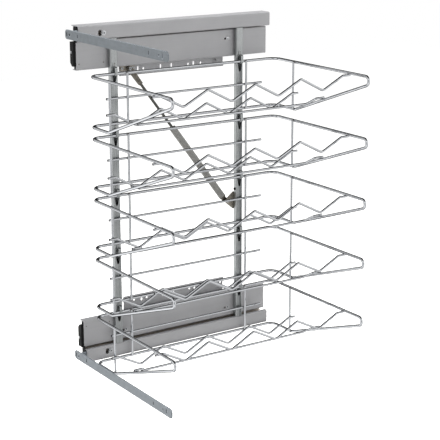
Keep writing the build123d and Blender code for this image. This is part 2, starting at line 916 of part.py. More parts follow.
def door_arm():
    """Flat bar across the front, with a welded keyhole leg that runs back into the box."""
    arm_end = arm_start + arm_length
    y1 = front_end - arm_front_gap
    y0 = y1 - arm_thickness
    middle = -arm_drop
    outline = RectangleRounded(arm_length, arm_height, arm_corner)
    bar = extrude_along_y(Pos(arm_start + arm_length / 2, middle) * outline, y0, y1)
    bar = fillet(bar.faces().sort_by(Axis.Y)[0].edges(), arm_edge)
    leg_outer = box_reach - box_sheet
    leg = slab(leg_outer - arm_thickness, leg_outer, y1 - leg_weld, front_end + leg_end,
               middle - leg_height / 2, middle + leg_height / 2)
    arm = bar + leg
    for x in door_hole_places():
        arm -= cylinder_y(y0 - cut, y1 + cut, x, middle, door_hole)
    for x in (arm_start + tall_slot_inset, arm_end - far_slot_inset):
        arm -= slot_y(y0 - cut, y1 + cut, x, middle, tall_slot_width, tall_slot_height)
    for x in (arm_start + near_small_slot, arm_end - far_small_slot):
        arm -= slot_y(y0 - cut, y1 + cut, x, middle, small_slot_width, small_slot_height)
    x0 = leg_outer - arm_thickness - cut
    x1 = leg_outer + cut
    neck_width = clamp_screw + 2 * clamp_play
    half_neck = neck_width / 2
    big = cylinder_x(x0, x1, clamp_y - keyhole_step, middle, keyhole)
    neck = slab(x0, x1, clamp_y - keyhole_step, clamp_y, middle - half_neck, middle + half_neck)
    seat = cylinder_x(x0, x1, clamp_y, middle, neck_width)
    return arm - big - neck - seat


def door_hole_places():
    """Round door-screw holes, one near each end of the arm."""
    return (arm_start + near_door_hole, arm_start + arm_length - far_door_hole)


def clamp_screw_piece():
    """Screw that clamps the arm's leg inside the box."""
    nut_face = box_reach - box_sheet - arm_thickness
    tip = nut_face - clamp_nut_height - clamp_screw_tip
    seat = box_reach + clamp_washer_height
    shank = cylinder_x(tip, seat, clamp_y, -arm_drop, clamp_screw)
    top = seat + clamp_head_height
    head = cylinder_x(seat, top, clamp_y, -arm_drop, clamp_head)
    socket = cylinder_x(top - clamp_socket_depth, top + cut, clamp_y, -arm_drop, clamp_socket)
    return shank + head - socket


def clamp_washer_piece():
    """Bright washer under the screw's head."""
    disc = cylinder_x(box_reach, box_reach + clamp_washer_height, clamp_y, -arm_drop, clamp_washer)
    return disc - cylinder_x(box_reach - cut, box_reach + clamp_washer_height + cut, clamp_y, -arm_drop, clamp_screw)


def clamp_nut_piece():
    """Square nut behind the leg."""
    nut_face = box_reach - box_sheet - arm_thickness
    half = clamp_nut / 2
    block = slab(nut_face - clamp_nut_height, nut_face, clamp_y - half, clamp_y + half, -arm_drop - half,
                 -arm_drop + half)
    return block - cylinder_x(nut_face - clamp_nut_height - cut, nut_face + cut, clamp_y, -arm_drop, clamp_screw)


# Strut

def strut_pivot_top():
    """Y and Z of the pivot on the wall."""
    return (-strut_top_offset, upper_top - unit_height - strut_top_drop)


def strut_pivot_foot():
    """Y and Z of the pivot on the rear post."""
    return (post_rear_y - post_width / 2 - strut_foot_inset, upper_top - strut_foot_drop)


def strut_length():
    """Distance between the two pivots with the rack closed."""
    top = strut_pivot_top()
    foot = strut_pivot_foot()
    return math.hypot(foot[0] - top[0], foot[1] - top[1])


def strut_angle():
    """Lean of the strut from straight down, towards the back, in degrees."""
    top = strut_pivot_top()
    foot = strut_pivot_foot()
    return math.degrees(math.atan2(foot[0] - top[0], top[1] - foot[1]))


def along_strut(local):
    """Puts a piece drawn straight down from the top pivot in its place."""
    y, z = strut_pivot_top()
    return Pos(strut_reach, y, z) * Rot(X=strut_angle()) * local


def strut_fitting():
    """Flat eye around the top pivot, with a tapering body screwed on the piston rod."""
    half = eye_thickness / 2
    ring = cylinder_x(-half, half, 0, 0, eye_width)
    outline = Polyline(
        (-eye_body_width / 2, -eye_width / 2),
        (-eye_width / 2, 0),
        (eye_width / 2, 0),
        (eye_body_width / 2, -eye_width / 2),
        (piston_rod / 2 + fitting_wall, -fitting_length),
        (-piston_rod / 2 - fitting_wall, -fitting_length),
        close=True,
    )
    body = extrude_along_x(make_face(outline), -half, half)
    hole = cylinder_x(-half - cut, half + cut, 0, 0, pin + 2 * pin_play)
    bore = cylinder_z(-fitting_length - cut, rod_grip - fitting_length, 0, 0, piston_rod)
    return along_strut(ring + body - hole - bore)


def strut_rod():
    """Piston rod, from the fitting into the cylinder, with its piston."""
    start = rod_grip - fitting_length
    piston_end = -(strut_length() - cylinder_foot_gap - piston_back)
    shaft = cylinder_z(piston_end, start, 0, 0, piston_rod)
    inner = cylinder - 2 * cylinder_wall - 2 * piston_play
    head = cylinder_z(piston_end, piston_end + piston_length, 0, 0, inner)
    return along_strut(shaft + head)


def strut_cylinder():
    """The tube."""
    end = -(strut_length() - cylinder_foot_gap)
    tube = cylinder_z(end, -cylinder_top, 0, 0, cylinder)
    bore = cylinder_z(end - cut, -cylinder_top + cut, 0, 0, cylinder - 2 * cylinder_wall)
    return along_strut(tube - bore)


def strut_seal():
    """Black seal in the cylinder's mouth, around the rod."""
    top = -cylinder_top - seal_inset
    plug = cylinder_z(top - seal_length, top, 0, 0, cylinder - 2 * cylinder_wall)
    hole = cylinder_z(top - seal_length - cut, top + cut, 0, 0, piston_rod + 2 * piston_play)
    return along_strut(plug - hole)


def strut_end_ring():
    """Dark ring at the cylinder's foot, with a spigot inside the tube."""
    end = -(strut_length() - cylinder_foot_gap)
    ring = cylinder_z(end - end_ring_length, end, 0, 0, cylinder)
    spigot = cylinder_z(end, end + end_spigot_length, 0, 0, cylinder - 2 * cylinder_wall)
    return along_strut(ring + spigot)


def strut_foot_eye():
    """Eye at the foot, fixed on the end ring, with a pin that stops just short of the post's plate."""
    foot = -strut_length()
    top = foot + cylinder_foot_gap - end_ring_length
    half = eye_thickness / 2
    ring = cylinder_x(-half, half, 0, foot, eye_width)
    neck = slab(-half, half, -eye_width / 2, eye_width / 2, foot, top)
    stub = cylinder_x(half, foot_plate_face() - foot_play - strut_reach, 0, foot, pin)
    return along_strut(ring + neck + stub)


def wall_bracket():
    """Plate on the upper strip's front end, with a boss for the top pivot."""
    y, z = strut_pivot_top()
    y0 = y - wall_bracket_ahead
    x1 = strip_sheet + wall_bracket_sheet
    half = wall_bracket_height / 2
    plate = slab(strip_sheet, x1, y0, y0 + wall_bracket_length, z - half, z + half)
    plate = fillet(plate.edges().filter_by(Axis.X), wall_bracket_corner)
    plate += cylinder_x(strip_sheet, strut_reach - eye_thickness / 2 - boss_play, y, z, boss)
    plate -= cylinder_x(strip_sheet - cut, strut_reach, y, z, pin)
    for rivet_y in bracket_rivet_places(y0):
        plate -= cylinder_x(strip_sheet - cut, x1 + cut, rivet_y, z, rivet)
    return plate


def bracket_rivet_places(y0):
    """Rivets near the two ends of the wall bracket."""
    return (y0 + bracket_rivet_inset, y0 + wall_bracket_length - bracket_rivet_inset)


def wall_bracket_rivets():
    """Rivets that hold the wall bracket on the strip."""
    y, z = strut_pivot_top()
    pieces = []
    face = strip_sheet + wall_bracket_sheet
    for rivet_y in bracket_rivet_places(y - wall_bracket_ahead):
        shank = cylinder_x(0, face + rivet_head_height, rivet_y, z, rivet)
        pieces.append(shank + cylinder_x(face, face + rivet_head_height, rivet_y, z, rivet_head))
    return pieces


def wall_pivot_pin():
    """Pin of the top pivot, with a flat head in front of the eye."""
    y, z = strut_pivot_top()
    seat = strut_reach + eye_thickness / 2 + boss_play
    shank = cylinder_x(strip_sheet, seat + pin_head_height, y, z, pin)
    return shank + cylinder_x(seat, seat + pin_head_height, y, z, pin_head)


def foot_plate_face():
    """Wall-side face of the plate on the rear post."""
    return post_back - foot_bracket_sheet


def foot_bracket():
    """Plate on the back of the rear post, with an ear out to the strut's foot."""
    y, z = strut_pivot_foot()
    post_edge = post_rear_y - post_width / 2
    half = foot_bracket_height / 2
    outline = Polyline(
        (post_edge - foot_bracket_tuck, z + half),
        (post_rear_y + post_width / 2, z + half),
        (post_rear_y + post_width / 2, z - half),
        (post_edge - foot_bracket_tuck, z - half),
        (y, z - foot_bracket_ear),
        (y - foot_bracket_ear, z),
        (y, z + foot_bracket_ear),
        close=True,
    )
    plate = extrude_along_x(make_face(outline), foot_plate_face(), post_back)
    x0 = foot_plate_face() - cut
    plate -= cylinder_x(x0, post_back + cut, y, z, pin)
    for screw_z in foot_screw_places():
        plate -= cylinder_x(x0, post_back + cut, post_rear_y, screw_z, foot_screw)
        plate -= cylinder_x(x0, foot_plate_face() + foot_screw_head_height, post_rear_y, screw_z, foot_screw_head)
    return plate


def foot_screw_places():
    """Heights of the two screws of the plate on the rear post."""
    z = strut_pivot_foot()[1]
    return (z - foot_screw_spread, z + foot_screw_spread)


def foot_pivot_rivet():
    """Pivot rivet in the plate's ear, with its head on the side seen from the baskets."""
    y, z = strut_pivot_foot()
    shank = cylinder_x(foot_plate_face(), post_back + pin_head_height, y, z, pin)
    return shank + cylinder_x(post_back, post_back + pin_head_height, y, z, pin_head)


def foot_screws():
    """Screws that hold the plate on the rear post, with their heads sunk in the plate."""
    pieces = []
    seat = foot_plate_face()
    for z in foot_screw_places():
        shank = cylinder_x(seat, post_back + post_wall, post_rear_y, z, foot_screw)
        head = cylinder_x(seat, seat + foot_screw_head_height, post_rear_y, z, foot_screw_head)
        pieces.append(shank + head)
    return pieces


def stop_button_z():
    """Height of the stop button, above the strut's foot."""
    return strut_pivot_foot()[1] + stop_button_rise


def stop_button_piece():
    """Black rubber dome on the rear post's front side."""
    y = post_rear_y - post_width / 2
    x = post_back + post_depth / 2
    cap = Pos(x, y, stop_button_z()) * Rot(X=90) * dome(stop_button, stop_button_height)
    return cap + cylinder_y(y, y + post_wall + stop_button_tail, x, stop_button_z(), stop_button_stem)


def save(name, pieces):
    """Writes one piece, or a group of like pieces, to a file of its own."""
    solids = []
    for piece in pieces:
        solids += piece.solids()
    shape = solids[0] if len(solids) == 1 else Compound(children=solids)
    export_step(shape, f"parts/{name}.step")


def both(local_pieces):
    """A group of like pieces in both units."""
    return [upper_place(piece) for piece in local_pieces] + [lower_place(piece) for piece in local_pieces]


def main():
    os.makedirs("parts", exist_ok=True)
    save("upper_wall_strip", [upper_strip()])
    save("lower_wall_strip", [lower_strip()])
    for name, place in (("upper", upper_place), ("lower", lower_place)):
        save(f"{name}_rail_panel", [place(rail_panel())])
        save(f"{name}_fixed_track", [place(fixed_track())])
        save(f"{name}_middle_slide", [place(middle_slide())])
        save(f"{name}_moving_slide", [place(moving_slide())])
        save(f"{name}_carrier_box", [place(carrier_box())])
        save(f"{name}_end_cap", [place(end_cap())])
        save(f"{name}_door_arm", [place(door_arm())])
    save("outer_ball_cages", both(outer_cages()))
    save("inner_ball_cages", both(inner_cages()))
    save("slide_spacers", both(slide_spacers()))
    save("track_rivets", both(track_rivets()))
    save("panel_standoffs", both(panel_standoffs()))
    save("panel_screws", both(panel_screws()))
    save("slide_rivets", both(slide_rivets()))
    save("end_cap_screws", both([end_cap_screw()]))
    save("clamp_screws", both([clamp_screw_piece()]))
    save("clamp_washers", both([clamp_washer_piece()]))
    save("clamp_nuts", both([clamp_nut_piece()]))
    save("front_post", [post(post_front_y)])
    save("rear_post", [rear_post()])
    save("post_screws", post_screws())
    hooks = [basket_hook(y, rim) for rim in rims for y in (post_front_y, post_rear_y)]
    save("basket_hooks", hooks)
    for tier, rim in enumerate(rims, start=1):
        save(f"basket_{tier}_frame", [basket_frame(rim)])
        save(f"basket_{tier}_rails", basket_rails(rim))
        save(f"basket_{tier}_zigzags", basket_zigzags(rim))
    save("strut_wall_bracket", [wall_bracket()])
    save("wall_bracket_rivets", wall_bracket_rivets())
    save("wall_pivot_pin", [wall_pivot_pin()])
    save("strut_eye_fitting", [strut_fitting()])
    save("strut_piston_rod", [strut_rod()])
    save("strut_cylinder", [strut_cylinder()])
    save("strut_seal", [strut_seal()])
    save("strut_end_ring", [strut_end_ring()])
    save("strut_foot_eye", [strut_foot_eye()])
    save("strut_foot_bracket", [foot_bracket()])
    save("foot_pivot_rivet", [foot_pivot_rivet()])
    save("foot_bracket_screws", foot_screws())
    save("post_stop_button", [stop_button_piece()])


main()
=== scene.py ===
import math

import bmesh
import bpy
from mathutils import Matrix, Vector, noise


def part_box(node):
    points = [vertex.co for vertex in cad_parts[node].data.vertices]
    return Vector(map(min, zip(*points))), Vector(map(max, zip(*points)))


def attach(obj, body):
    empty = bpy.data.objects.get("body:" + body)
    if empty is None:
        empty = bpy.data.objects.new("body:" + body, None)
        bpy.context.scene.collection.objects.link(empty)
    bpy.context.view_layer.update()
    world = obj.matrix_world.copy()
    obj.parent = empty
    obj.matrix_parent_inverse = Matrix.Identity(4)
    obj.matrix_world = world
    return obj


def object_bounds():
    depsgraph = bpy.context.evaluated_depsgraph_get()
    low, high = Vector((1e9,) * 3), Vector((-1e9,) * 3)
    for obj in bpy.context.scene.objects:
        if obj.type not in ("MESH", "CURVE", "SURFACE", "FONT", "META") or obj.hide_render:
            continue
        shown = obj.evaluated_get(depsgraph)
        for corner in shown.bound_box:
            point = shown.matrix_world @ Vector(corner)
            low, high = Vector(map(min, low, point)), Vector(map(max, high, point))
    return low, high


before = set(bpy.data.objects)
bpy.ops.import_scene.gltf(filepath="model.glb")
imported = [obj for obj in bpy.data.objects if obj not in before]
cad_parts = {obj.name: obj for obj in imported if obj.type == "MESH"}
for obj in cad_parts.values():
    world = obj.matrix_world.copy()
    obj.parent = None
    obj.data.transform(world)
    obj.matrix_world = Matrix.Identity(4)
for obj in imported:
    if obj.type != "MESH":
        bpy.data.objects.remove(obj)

bl_info = {
    "name": "Pull-out wine rack",
    "version": (1, 0),
    "blender": (4, 5, 0),
    "location": "3D View > Sidebar > Wine Rack",
    "description": "Dresses the pull-out wine rack in its finishes and sets up its studio",
    "category": "Object",
}

cad_low, cad_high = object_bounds()

# The camera, in metres and degrees, and its lens and sensor in millimetres
CAMERA_PLACE = (2.848, -1.748, 1.103)
CAMERA_AZIMUTH = 56.11
CAMERA_PITCH = 15.17
CAMERA_LENS = 108.9
CAMERA_SENSOR = 36.0

# The studio, in metres
FLOOR_SIZE = 14.0
KEY_PLACE = (0.4, -3.0, 2.6)
KEY_SIZE = 1.6
FILL_PLACE = (3.2, 1.2, 0.9)
FILL_SIZE = 2.0
TOP_PLACE = (-0.3, 0.4, 3.2)
TOP_SIZE = 1.2

# What the metal mirrors, by the height of the direction: the floor below, the bright band round the rack and
# the unlit ceiling. Each turn is where one passes into the next.
FLOOR_TURN = (-0.90, -0.60)
CEILING_TURN = (0.47, 0.78)

# Boards and soft boxes that only the metal sees: the direction from the rack, the cosines where it fades in
# and where it is full, and its brightness. A later one covers an earlier one.
STUDIO_BOARDS = (
    ((-0.35, 0.93, -0.10), 0.85, 0.95, 0.10),  # black, behind: dark edges on the posts and the uprights
    ((0.83, -0.54, 0.00), 0.90, 0.97, 0.04),  # black, in front: the dark middles of the uprights
    ((-0.62, 0.52, 0.58), 0.78, 0.90, 0.03),  # black, high behind: dark upper edges on the long wires
    ((-0.95, 0.20, 0.15), 0.74, 0.86, 0.05),  # black, at the wall: dark upper edges on the end wires
    ((-0.88, -0.36, 0.24), 0.955, 0.985, 1.30),  # soft box: the bright middles of the front end wires
    ((-0.74, -0.61, 0.22), 0.955, 0.985, 0.22),  # grey: the darker rear end wires
    ((-0.84, 0.05, -0.54), 0.83, 0.93, 0.30),  # grey, low at the wall: the undersides of the end wires
    ((0.80, 0.40, -0.46), 0.92, 0.975, 0.60),  # pale grey, low: the falling legs of the zigzags
    ((-0.71, -0.41, -0.58), 0.93, 0.98, 1.80),  # soft box, low in front: the paler lower arm
)

TIERS = range(1, 6)
UNITS = ("upper", "lower")

# Sizes of the baskets that their boxes don't give, in metres
RIM_WIRE = 0.0074
INNER_WIRE = 0.0060
WELD_STEP = 0.0062  # between the middles of a rim wire and of the inner wire welded across it
THIN_WELD_STEP = 0.0055  # between the middles of two inner wires welded across each other
UPRIGHT_INSETS = (0.1026, 0.0967)  # the wall-side uprights, in from the front and rear end wires
RAIL_INSETS = (0.0456, 0.0437)  # the cut ends of the rail across them
RAIL_DROP = 0.060  # the rail under the rim
INNER_TAB_DROP = 0.080  # the ends of the inner zigzag under the rim
HAIRPIN_DROP = 0.020  # the top of the slanted wire under the rim
LEVEL_REACH = 0.1325  # from the wall to where the slanted wire turns level

# Added detail, in metres and shares
WELD_BEAD = (0.0032, 0.0014)  # half the width and half the thickness of the melted collar between two wires
BEAD_WAVE = 0.15  # how far a bead's skin waves, as a share of its size
BEAD_GRAIN = 1.6  # how close its waves are
TIER_SEED = 17.0  # so the beads of two tiers differ
SEAM_SEED = 3.1  # so the beads along a seam differ
CUT_DEPTH = 0.0002  # how near an end face a surface has to be to count as cut
SPOT_MARK = 0.0034
# The bank of a spot mark: shares of its radius, and heights
SPOT_PROFILE = ((1.0, 0.0), (0.85, 0.00012), (0.62, 0.00014), (0.40, 0.00005), (0.12, 0.00003))
SPOT_PLACES = ((-0.2570, 0.0150), (-0.1900, 0.0150))  # along Y, and in from the edge by the rack's middle
HOOK_SHEET = 0.0015
HOOK_ROOT = (0.0183, 0.0237)  # spot welds on a hook's root, over the rim wire's middle
SEAM_STEP = 0.0016
SEAM_BEAD = 0.0016
LEG_HEIGHT = 0.020
LEG_FACE = 0.031  # the leg's hidden face, from the wall
ARM_BACK = -0.2805  # the face that the leg is welded to, along Y
PANEL_SCREW = (0.00375, 0.0036)  # the head's radius, and the length across its drive
CAP_SCREW = (0.00325, 0.0034)
PLATE_SCREW = (0.0030, 0.0032)
DRIVE_ARM = 0.16  # half an arm's width, as a share of the drive's length
DRIVE_TAPER = 0.7  # how wide an arm's end is, beside its root
DRIVE_SPREAD = 1.08  # how wide the cross is at the head, beside its upper outline
DRIVE_RISE = 0.00004
CLAMP_SCREW_RADIUS = 0.00425
SOCKET_APOTHEM = 0.0017
SOCKET_ROUND = 0.00218  # the radius of its round mouth
SOCKET_DEPTH = 0.0017
SOCKET_SINK = 0.0002  # the mouth, under the screw's face
SOCKET_LIP = 0.0001
SOCKET_TIP = 0.3  # the flat of the socket's floor, as a share of its width

# How finishes vary and wear, and where they get a painted highlight or painted shade, as shares and cosines
NOISE_SPREAD = (0.3, 0.7)  # where nearly all of a noise lies
TWO_NOISE_SPREAD = (0.7, 1.3)  # and nearly all of the sum of two
CLOUD_LIFT = 0.6  # how far clouds lighten, beside how far they darken
PATCH_GLOSS = 0.15
EDGE_ALIKE = (0.998, 0.90)  # of a face's direction and its rounded one: on the flat, and on a sharp edge
EDGE_RISE = (0.1, 0.4)  # how far up an edge has to look to count as an upper one
CUT_FACE = 0.9  # how straight along Y a cut end faces
CUT_ROUGHNESS = 0.55
HOLE_SHELTER = (0.35, 0.85)  # the open share of the sky, deep in a hole and outside it
# How dark the painted shade deep in a hole is, as a share of the tone
HOLE_SHADE_TONE = 0.12
FLOOR_GRAIN_MM = 2.0
FLOOR_RELIEF = 0.00002
WHITE = (1.0, 1.0, 1.0, 1.0)


def linear(code):
    """An sRGB hex colour as linear red, green and blue."""
    values = [int(code[i:i + 2], 16) / 255 for i in (1, 3, 5)]
    return [v / 12.92 if v <= 0.04045 else ((v + 0.055) / 1.055) ** 2.4 for v in values]


def per_metre(size_mm):
    """How often a pattern of that size in millimetres repeats in a metre."""
    return 1000.0 / size_mm


def add(tree, kind, inputs=None, **settings):
    """Adds a node with its settings. Each input is linked if it is given a socket, and set otherwise."""
    node = tree.nodes.new(kind)
    for name, value in settings.items():
        setattr(node, name, value)
    for name, value in (inputs or {}).items():
        if isinstance(value, bpy.types.NodeSocket):
            tree.links.new(value, node.inputs[name])
        else:
            node.inputs[name].default_value = value
    return node


def new_material(name):
    """An empty node material and its tree."""
    material = bpy.data.materials.new(name)
    material.use_nodes = True
    material.node_tree.nodes.clear()
    return material, material.node_tree


def finish_of(name):
    """The material of that name, made once."""
    return bpy.data.materials.get(name) or MATERIALS[name]()


def dress(node, name):
    """Gives a CAD node its finish."""
    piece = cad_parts[node]
    piece.data.materials.clear()
    piece.data.materials.append(finish_of(name))


def look():
    """The colours and finishes that the panel shows."""
    return bpy.context.scene.wine_rack_finishes


# Finishes

def worn_and_highlit_edges(tree, reach_mm, upper_only):
    """1 on sharp edges, where the plating is rubbed bright and a painted highlight sits, or only on the upper
    ones as a painted highlight from above, and 0 on the faces.
    """
    rounded = add(tree, "ShaderNodeBevel", {"Radius": reach_mm / 1000}, samples=4)
    face = add(tree, "ShaderNodeNewGeometry").outputs["Normal"]
    alike = add(tree, "ShaderNodeVectorMath", {0: rounded.outputs["Normal"], 1: face},
                operation="DOT_PRODUCT").outputs["Value"]
    wear_and_highlight = add(tree, "ShaderNodeMapRange", {"Value": alike, "From Min": EDGE_ALIKE[0],
                                            "From Max": EDGE_ALIKE[1]}).outputs["Result"]
    if not upper_only:
        return wear_and_highlight
    rise = add(tree, "ShaderNodeSeparateXYZ", {"Vector": rounded.outputs["Normal"]}).outputs["Z"]
    upper = add(tree, "ShaderNodeMapRange", {"Value": rise, "From Min": EDGE_RISE[0],
                                             "From Max": EDGE_RISE[1]}).outputs["Result"]
    return add(tree, "ShaderNodeMath", {0: wear_and_highlight, 1: upper}, operation="MULTIPLY").outputs["Value"]


def lighten_edges(tree, tone, reach_mm, light, upper_only):
    """The tone, lighter by that share on the edges, for rubbed plating and a painted highlight."""
    wear_and_highlight = worn_and_highlit_edges(tree, reach_mm, upper_only)
    lift = add(tree, "ShaderNodeMapRange", {"Value": wear_and_highlight, "To Min": 1.0,
                                            "To Max": 1.0 + light}).outputs["Result"]
    return add(tree, "ShaderNodeVectorMath", {0: tone, 1: lift}, operation="MULTIPLY").outputs["Vector"]


def paint_hole_shade(tree, tone, reach_mm):
    """The tone, darker with painted shade in holes of about that size."""
    shelter = add(tree, "ShaderNodeAmbientOcclusion", {"Distance": reach_mm / 1000}, samples=8).outputs["AO"]
    share = add(tree, "ShaderNodeMapRange", {"Value": shelter, "From Min": HOLE_SHELTER[0],
                                             "From Max": HOLE_SHELTER[1],
                                             "To Min": HOLE_SHADE_TONE}).outputs["Result"]
    return add(tree, "ShaderNodeVectorMath", {0: tone, 1: share}, operation="MULTIPLY").outputs["Vector"]


def wire_ends(tree, place):
    """1 on the cut end faces of the basket wires, and 0 elsewhere."""
    face = add(tree, "ShaderNodeNewGeometry").outputs["Normal"]
    turn = add(tree, "ShaderNodeSeparateXYZ", {"Vector": face}).outputs["Y"]
    turned = add(tree, "ShaderNodeMath", {0: turn}, operation="ABSOLUTE").outputs["Value"]
    mask = add(tree, "ShaderNodeMath", {0: turned, 1: CUT_FACE}, operation="GREATER_THAN").outputs["Value"]
    along = add(tree, "ShaderNodeSeparateXYZ", {"Vector": place}).outputs["Y"]
    low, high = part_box("basket_1_zigzags")
    front, rear = [end[0] for end in basket_ends(1)]
    near = None
    for plane in (low.y, front + RAIL_INSETS[0], rear - RAIL_INSETS[1], high.y):
        here = add(tree, "ShaderNodeMath", {0: along, 1: plane, 2: CUT_DEPTH},
                   operation="COMPARE").outputs["Value"]
        if near is None:
            near = here
        else:
            near = add(tree, "ShaderNodeMath", {0: near, 1: here}, operation="MAXIMUM").outputs["Value"]
    return add(tree, "ShaderNodeMath", {0: mask, 1: near}, operation="MULTIPLY").outputs["Value"]


def metal(name, colour, roughness, grain_mm, cloud_mm, grain_share, cloud_share, relief_mm, edge_mm=0.0,
          edge_light=0.0, upper_only=False, hole_shade_mm=0.0, cut_ends=False, metallic=1.0, edge_tint=1.0):
    """Metal with a plated or rolled surface: grain along one way, soft clouds, relief, edges lightened for
    rubbed plating and a painted highlight, and painted shade in holes.

    The shares are how far the grain changes the gloss, and how far the clouds change the tone.
    """
    material, tree = new_material(name)
    place = add(tree, "ShaderNodeTexCoord").outputs["Object"]
    grain = add(tree, "ShaderNodeMapping", {"Vector": place, "Scale": [per_metre(size) for size in grain_mm]})
    lines = add(tree, "ShaderNodeTexNoise", {"Vector": grain.outputs["Vector"], "Scale": 1.0, "Detail": 3.0,
                                             "Roughness": 0.6}).outputs["Fac"]
    clouds = add(tree, "ShaderNodeTexNoise", {"Vector": place, "Scale": per_metre(cloud_mm), "Detail": 5.0,
                                              "Roughness": 0.6}).outputs["Fac"]
    both = add(tree, "ShaderNodeMath", {0: lines, 1: clouds}, operation="ADD").outputs["Value"]
    shade = add(tree, "ShaderNodeMapRange", {"Value": both, "From Min": TWO_NOISE_SPREAD[0],
                                             "From Max": TWO_NOISE_SPREAD[1],
                                             "To Min": 1.0 - cloud_share,
                                             "To Max": 1.0 + cloud_share * CLOUD_LIFT}).outputs["Result"]
    tone = add(tree, "ShaderNodeVectorMath", {0: colour, 1: shade}, operation="MULTIPLY").outputs["Vector"]
    gloss = add(tree, "ShaderNodeMapRange", {"Value": lines, "From Min": NOISE_SPREAD[0],
                                             "From Max": NOISE_SPREAD[1],
                                             "To Min": roughness * (1 - grain_share),
                                             "To Max": roughness * (1 + grain_share)}).outputs["Result"]
    relief = add(tree, "ShaderNodeBump", {"Height": lines, "Distance": relief_mm / 1000, "Strength": 1.0})
    if edge_mm:
        tone = lighten_edges(tree, tone, edge_mm, edge_light, upper_only)
    if hole_shade_mm:
        tone = paint_hole_shade(tree, tone, hole_shade_mm)
    if cut_ends:
        cut = wire_ends(tree, place)
        tone = add(tree, "ShaderNodeMix", {0: cut, 6: tone, 7: list(look().cut_steel) + [1.0]},
                   data_type="RGBA").outputs[2]
        gloss = add(tree, "ShaderNodeMix", {0: cut, 2: gloss, 3: CUT_ROUGHNESS}).outputs[0]
    shader = add(tree, "ShaderNodeBsdfPrincipled", {"Base Color": tone, "Metallic": metallic,
                                                    "Roughness": gloss, "Normal": relief.outputs["Normal"],
                                                    "Specular Tint": (edge_tint,) * 3 + (1.0,)})
    add(tree, "ShaderNodeOutputMaterial", {"Surface": shader.outputs["BSDF"]})
    return material


def zinc_plated_sheet():
    # Steel sheet, zinc plated and satin: an even pale grey with wide soft reflections and faint rolling
    # lines. The fine crystals of the plating scatter a part of the light, so it isn't all mirrored. The
    # lines are 4 mm wide here, coarser than the real ones, to show.
    return metal("zinc_plated_sheet", look().sheet, roughness=0.50, grain_mm=(4.0, 160.0, 4.0),
                 cloud_mm=60.0, grain_share=0.10, cloud_share=0.06, relief_mm=0.004, edge_mm=0.8,
                 edge_light=0.35, metallic=0.5)


def zinc_plated_post():
    # Drawn steel tube, zinc plated: upright drawing lines and cloudy patches that catch the light unevenly.
    # The lines are 3 mm wide here, coarser than the real ones, to show.
    return metal("zinc_plated_post", look().post, roughness=0.30, grain_mm=(3.0, 3.0, 220.0),
                 cloud_mm=25.0, grain_share=0.35, cloud_share=0.20, relief_mm=0.010, edge_mm=0.8,
                 edge_light=0.30)


def blue_zinc_bar():
    # Flat steel bar, blue-passivated zinc: a cool grey, smooth, with faint cloudy spots, a painted highlight
    # on its upper edges and painted shade in its punched holes. Its rolling lines are 3 mm wide here, to
    # show.
    return metal("blue_zinc_bar", look().arm, roughness=0.36, grain_mm=(30.0, 3.0, 3.0), cloud_mm=14.0,
                 grain_share=0.20, cloud_share=0.16, relief_mm=0.004, edge_mm=1.8, edge_light=2.60,
                 upper_only=True, hole_shade_mm=4.0, metallic=0.6)


def bright_chrome_wire():
    # Drawn steel wire, polished and chrome plated: mirror reflections that run as bright and dark lines, with
    # the slow waves of a polishing belt. Its ends were cut after drawing, and are dull and dark.
    return metal("bright_chrome_wire", look().wire, roughness=0.06, grain_mm=(8.0, 8.0, 8.0), cloud_mm=40.0,
                 grain_share=0.25, cloud_share=0.05, relief_mm=0.003, cut_ends=True, edge_tint=0.35)


def scorched_weld():
    # Chrome plate over a resistance weld: the melted skin is uneven, darker and half dull.
    return metal("scorched_weld", look().weld, roughness=0.32, grain_mm=(0.9, 0.9, 0.9), cloud_mm=2.5,
                 grain_share=0.40, cloud_share=0.35, relief_mm=0.020)


def bright_zinc_fastener():
    # Turned and pressed steel, bright zinc plated: small sharp highlights and faint marks of the tool.
    return metal("bright_zinc_fastener", look().fastener, roughness=0.24, grain_mm=(0.6, 0.6, 0.6),
                 cloud_mm=4.0, grain_share=0.25, cloud_share=0.12, relief_mm=0.006, edge_mm=0.4,
                 edge_light=0.25)


def oiled_slide_steel():
    # Cold-rolled steel of the ball slides, thinly oiled: warm grey, half dull, with long run marks. Its pale
    # grey is partly the steel's own and partly painted light, lighter than the steel for the dark gaps by the
    # boxes.
    return metal("oiled_slide_steel", look().slide, roughness=0.35, grain_mm=(0.8, 90.0, 0.8), cloud_mm=15.0,
                 grain_share=0.25, cloud_share=0.12, relief_mm=0.004, metallic=0.5)


def phosphated_strut_steel():
    # Phosphated steel of the strut's ends: brownish black, mottled with paler rubbed spots, dull.
    return metal("phosphated_strut_steel", look().strut_end, roughness=0.45, grain_mm=(2.5, 2.5, 2.5),
                 cloud_mm=6.0, grain_share=0.30, cloud_share=0.60, relief_mm=0.03, edge_mm=0.8,
                 edge_light=0.80)


def ground_piston_rod():
    # Ground and blackened piston rod: dark, smooth, with a thin bright line along it.
    return metal("ground_piston_rod", look().piston_rod, roughness=0.25, grain_mm=(0.5, 0.5, 0.5),
                 cloud_mm=8.0, grain_share=0.15, cloud_share=0.15, relief_mm=0.002)


def chromated_bracket():
    # Stamped steel with an olive chromate coat: brownish grey with darker and yellower clouds.
    return metal("chromated_bracket", look().bracket, roughness=0.40, grain_mm=(6.0, 6.0, 6.0), cloud_mm=9.0,
                 grain_share=0.25, cloud_share=0.28, relief_mm=0.010, edge_mm=0.7, edge_light=0.40)


